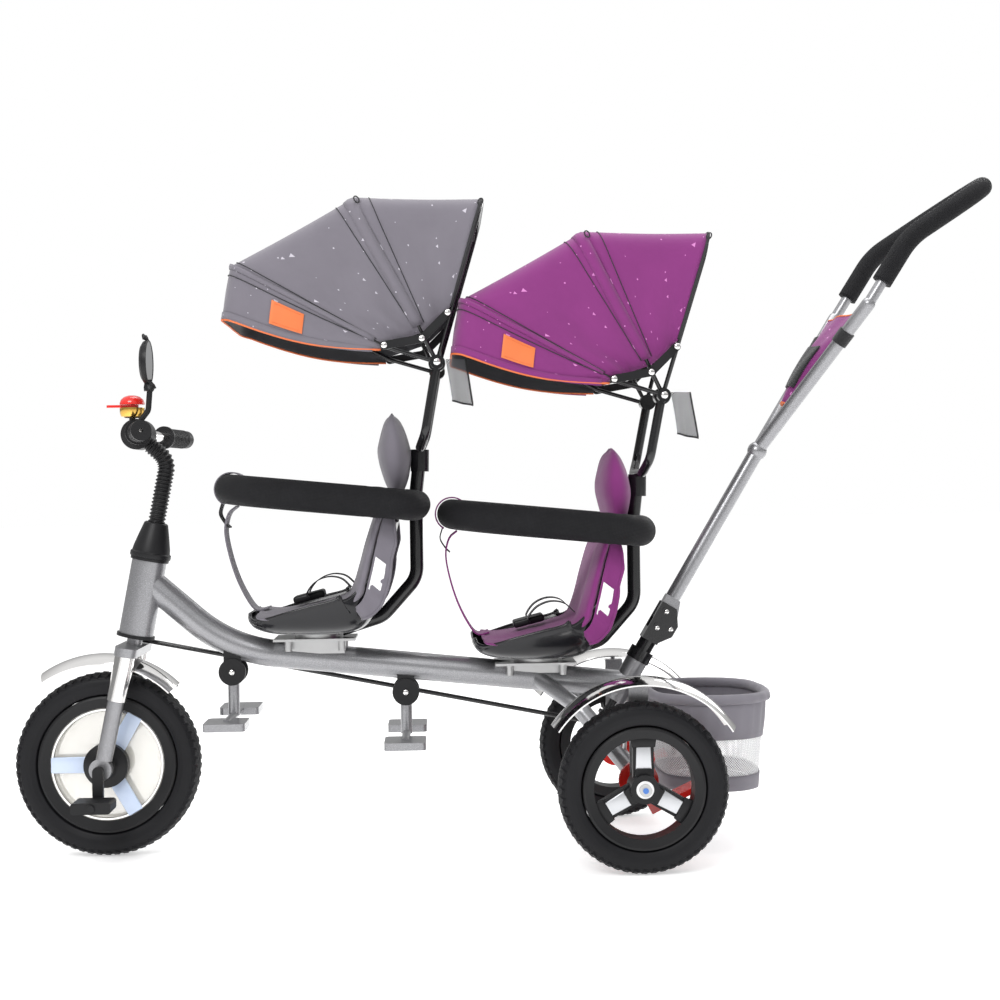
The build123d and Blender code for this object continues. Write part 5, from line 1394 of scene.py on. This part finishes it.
rim_roll = sweep("basket_rim_roll", basket_outline(249, 0, 0.6) + [basket_outline(249, 0, 0.6)[0]], 0.0082,
        "band", "frame",
                 sides=10, ends=False)
top_band = basket_sheet("basket_top_band", 184, 247, 8, "band", -0.4, 1.3, 1.4)
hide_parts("basket_fabric")
basket_sheet("basket_netting", 122, 187, 6, "white_net", 1.2, 0.0, 0)
basket_sheet("basket_foot_band", 100, 124, 4, "band", -0.2, 0.2, 1.4)
floor_rows = [[st(985 + (p.x - st(985, 0, 0).x) * 1000 * k / 8, p.y * 1000 * k / 8, 100 + 1.2 * math.cos(k))
               for p in basket_outline(100, 1.0)] for k in (0.2, 2, 4, 6, 8)]
ground = link_piece("basket_floor_cloth", grid_mesh("basket_floor_cloth", floor_rows, closed_across=True),
        "band", None)
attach(ground, "frame")
ground["cut"] = surface_area(ground)
ground["flat"] = (0.156, 0.21)
print("basket done")

# %% [markdown]
# The push grip's foam and the bag between the handle's two tubes come next. The bag is a soft envelope:
# its front and back sheets meet along piped edges, its mouth gapes, and one strap wraps the near tube.
# %% Push handle
junction, corner_at = st(1078, 0, 647), st(1307, 108, 984)
foam_at = st(1261, 108, 912)
grip_run = (corner_at - foam_at).normalized()
start_at = foam_at + grip_run * 0.0003
half = [Vector((start_at.x, -start_at.y, start_at.z)), Vector((corner_at.x, -corner_at.y, corner_at.z)),
        st(1455, -108, 1080)]
grip_route = half + [Vector((p.x, -p.y, p.z)) for p in reversed(half)]
grip = sweep("push_grip_foam", even(rounded(grip_route, [0.120, 0.104, 0.104, 0.120], 16), 0.005), 0.016,
        "foam",
             "push_handle", sides=36)
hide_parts("handle_grip")
step_at = foam_at - grip_run * 0.041
leg = step_at - junction
leg_side = Vector((leg.x, 0, leg.z)).normalized()
leg_long = math.hypot(leg.x, leg.z)
bag_face = Vector((leg_side.z, 0, -leg_side.x))


def bag_sheet(name, push, bulge, gape, finish, cols=26, tall=24, low=0.090, high=0.262):
    rows = []
    for i in range(tall + 1):
        t = i / tall
        along = low + (high - low) * t
        half_wide = leg.y * along / leg_long - 0.0135
        line = []
        for j in range(cols + 1):
            u = -1 + 2 * j / cols
            belly = bulge * (1 - u * u) * math.sin(math.pi * min(1.0,
                    0.12 + t * 0.8)) + gape * t ** 4 * (1 - u * u)
            sag = 0.0012 * math.sin(u * 8 + t * 7) + 0.0016 * noise.noise(Vector((u * 2.2, t * 3.0,
                    push * 90)))
            line.append(junction + leg_side * (along - 0.006 * (1 - u * u) * t) + Vector((0, half_wide * u,
                    0))
                        + bag_face * (push + belly + sag))
        rows.append(line)
    made = link_piece(name, grid_mesh(name, rows), finish, None)
    made["cut"] = surface_area(made)
    made["flat"] = (0.17, max(0.172, made["cut"] / 0.165))
    apply_modifier(made, "SOLIDIFY", thickness=0.0013, offset=0.0)
    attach(made, "push_handle")
    return made, rows


front_sheet, front_rows = bag_sheet("handle_bag_front", -0.004, -0.017, -0.008, "rear_cloth")
rear_sheet, rear_rows = bag_sheet("handle_bag_rear", 0.003, 0.013, 0.006, "rear_cloth")
pocket_rows = [row[4:-4] for row in front_rows[4:16]]
pocket = link_piece("handle_bag_pocket", grid_mesh("handle_bag_pocket",
        [[p - bag_face * 0.003 for p in row] for row in
                                                                          pocket_rows]), "webbing", None)
pocket["cut"] = surface_area(pocket)
pocket["flat"] = (0.12, max(0.07, pocket["cut"] / 0.11))
apply_modifier(pocket, "SOLIDIFY", thickness=0.0014, offset=0.0)
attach(pocket, "push_handle")
for tag, rows in (("front", front_rows), ("rear", rear_rows)):
    outline = [r[0] for r in reversed(rows)] + rows[0][1:-1] + [r[-1] for r in rows]
    sweep(f"bag_piping_{tag}", resample(outline[::2] + [outline[-1]], 0.006), 0.0019,
            "orange_piping", "push_handle",
                       sides=8)
    sweep(f"bag_mouth_{tag}", resample(rows[-1], 0.006), 0.0017, "orange_piping",
            "push_handle",
                       sides=8)
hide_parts("handle_bag")
for side in (-1, 1):
    tag = "left" if side < 0 else "right"
    run = Vector((leg.x, side * leg.y, leg.z)).normalized()
    middle = junction + run * (leg.length * 0.78)
    turned(f"bag_strap_{tag}", middle, run, [(-12, 11.2), (-12, 13.2), (12, 13.4), (12, 11.2), (-12, 11.2)],
            "webbing",
           "push_handle", steps=36)
print("handle done")

# %% [markdown]
# The seat shells are glossy mouldings with no flat face. The shell is a sheet laid over the curve of its
# keel: the sides curl up along the keel's own normal, low at the front tip and high beside the hips.
# %% Seat shells
KEEL = [(-106, 44), (-104, 33), (-92, 21), (-66, 13), (-30, 10), (10, 9.5), (50, 11), (78, 20), (95, 40),
        (105, 68),
        (113, 100), (122, 140), (134, 188)]
WALL_AT = [4, 8, 17, 29, 41, 51, 59, 63, 56, 36, 18, 9, 4]
HALF_AT = [70, 92, 110, 121, 127, 129, 129, 129, 127, 117, 111, 107, 103]


def curve_at(values, t):
    spot = t * (len(values) - 1)
    k = min(int(spot), len(values) - 2)
    f = spot - k
    a, b = values[k], values[k + 1]
    before, after = values[max(k - 1, 0)], values[min(k + 2, len(values) - 1)]
    return 0.5 * (2 * a + (b - before) * f + (2 * before - 5 * a + 4 * b - after) * f * f
                  + (3 * a - before - 3 * b + after) * f ** 3)


for seat in SEATS:
    rows = []
    for i in range(61):
        t = i / 60
        x, z = curve_at([p[0] for p in KEEL], t), curve_at([p[1] for p in KEEL], t)
        near = min(t + 0.01, 1.0), max(t - 0.01, 0.0)
        dx = curve_at([p[0] for p in KEEL], near[0]) - curve_at([p[0] for p in KEEL], near[1])
        dz = curve_at([p[1] for p in KEEL], near[0]) - curve_at([p[1] for p in KEEL], near[1])
        size = math.hypot(dx, dz)
        wall, half_wide = curve_at(WALL_AT, t), curve_at(HALF_AT, t)
        row = []
        for j in range(49):
            u = -1 + 2 * j / 48
            curl = abs(u) ** 5
            y = half_wide * math.copysign(min(1.0, abs(u) * 1.16 - 0.16 * abs(u) ** 4), u)
            row.append(on_seat(seat, x - dz / size * wall * curl, y, z + dx / size * wall * curl))
        rows.append(row)
    shell_piece = link_piece(seat + "_seat_shell", grid_mesh(seat + "_seat_shell", rows), "seat_plastic",
            "frame")
    apply_modifier(shell_piece, "SOLIDIFY", thickness=0.0032, offset=0.0)
    apply_modifier(shell_piece, "BEVEL", width=0.0009, segments=2, limit_method="ANGLE")
    lip_line = [row[0] for row in rows] + [row[-1] for row in reversed(rows)]
    sweep(seat + "_seat_shell_lip", resample(lip_line[:61], 0.005), 0.0026, "seat_plastic", "frame",
            sides=10)
    sweep(seat + "_seat_shell_lip_far", resample(lip_line[61:], 0.005), 0.0026, "seat_plastic", "frame",
          sides=10)
    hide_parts(seat + "_seat_pan")
print("seat shells done")

# %% [markdown]
# Small bright fasteners tell the eye how big everything is: domed rivets on the folding block of the handle
# and nuts on the footrest pivots.
# %% Rivets and nuts
LEAN = math.radians(31)


def handle_at(along, back, across):
    return st(848 + along * math.sin(LEAN) + back * math.cos(LEAN), across,
              263 + along * math.cos(LEAN) - back * math.sin(LEAN))


yoke_low, yoke_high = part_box("handle_yoke")
for index, (along, back) in enumerate(((118, 20.7), (109, 0), (140, 0))):
    for side, across in ((-1, yoke_low[1]), (1, yoke_high[1])):
        spot = handle_at(along, back, 0)
        dome(f"yoke_rivet_{index}_{side + 1}", Vector((spot.x, across, spot.z)), Vector((0, side, 0)), 4.2,
                "chrome",
             "handle_base")
bracket_low, bracket_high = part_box("footrest_brackets")
for index, (station, height) in enumerate(((205, 297), (488, 259))):
    spot = st(station, 0, height)
    for side, face in ((-1, bracket_low[1]), (1, bracket_high[1])):
        dome(f"footrest_nut_{index}_{side + 1}", Vector((spot.x, face, spot.z)), Vector((0, side, 0)), 4.8,
                "chrome",
             "frame")
print("fasteners done")
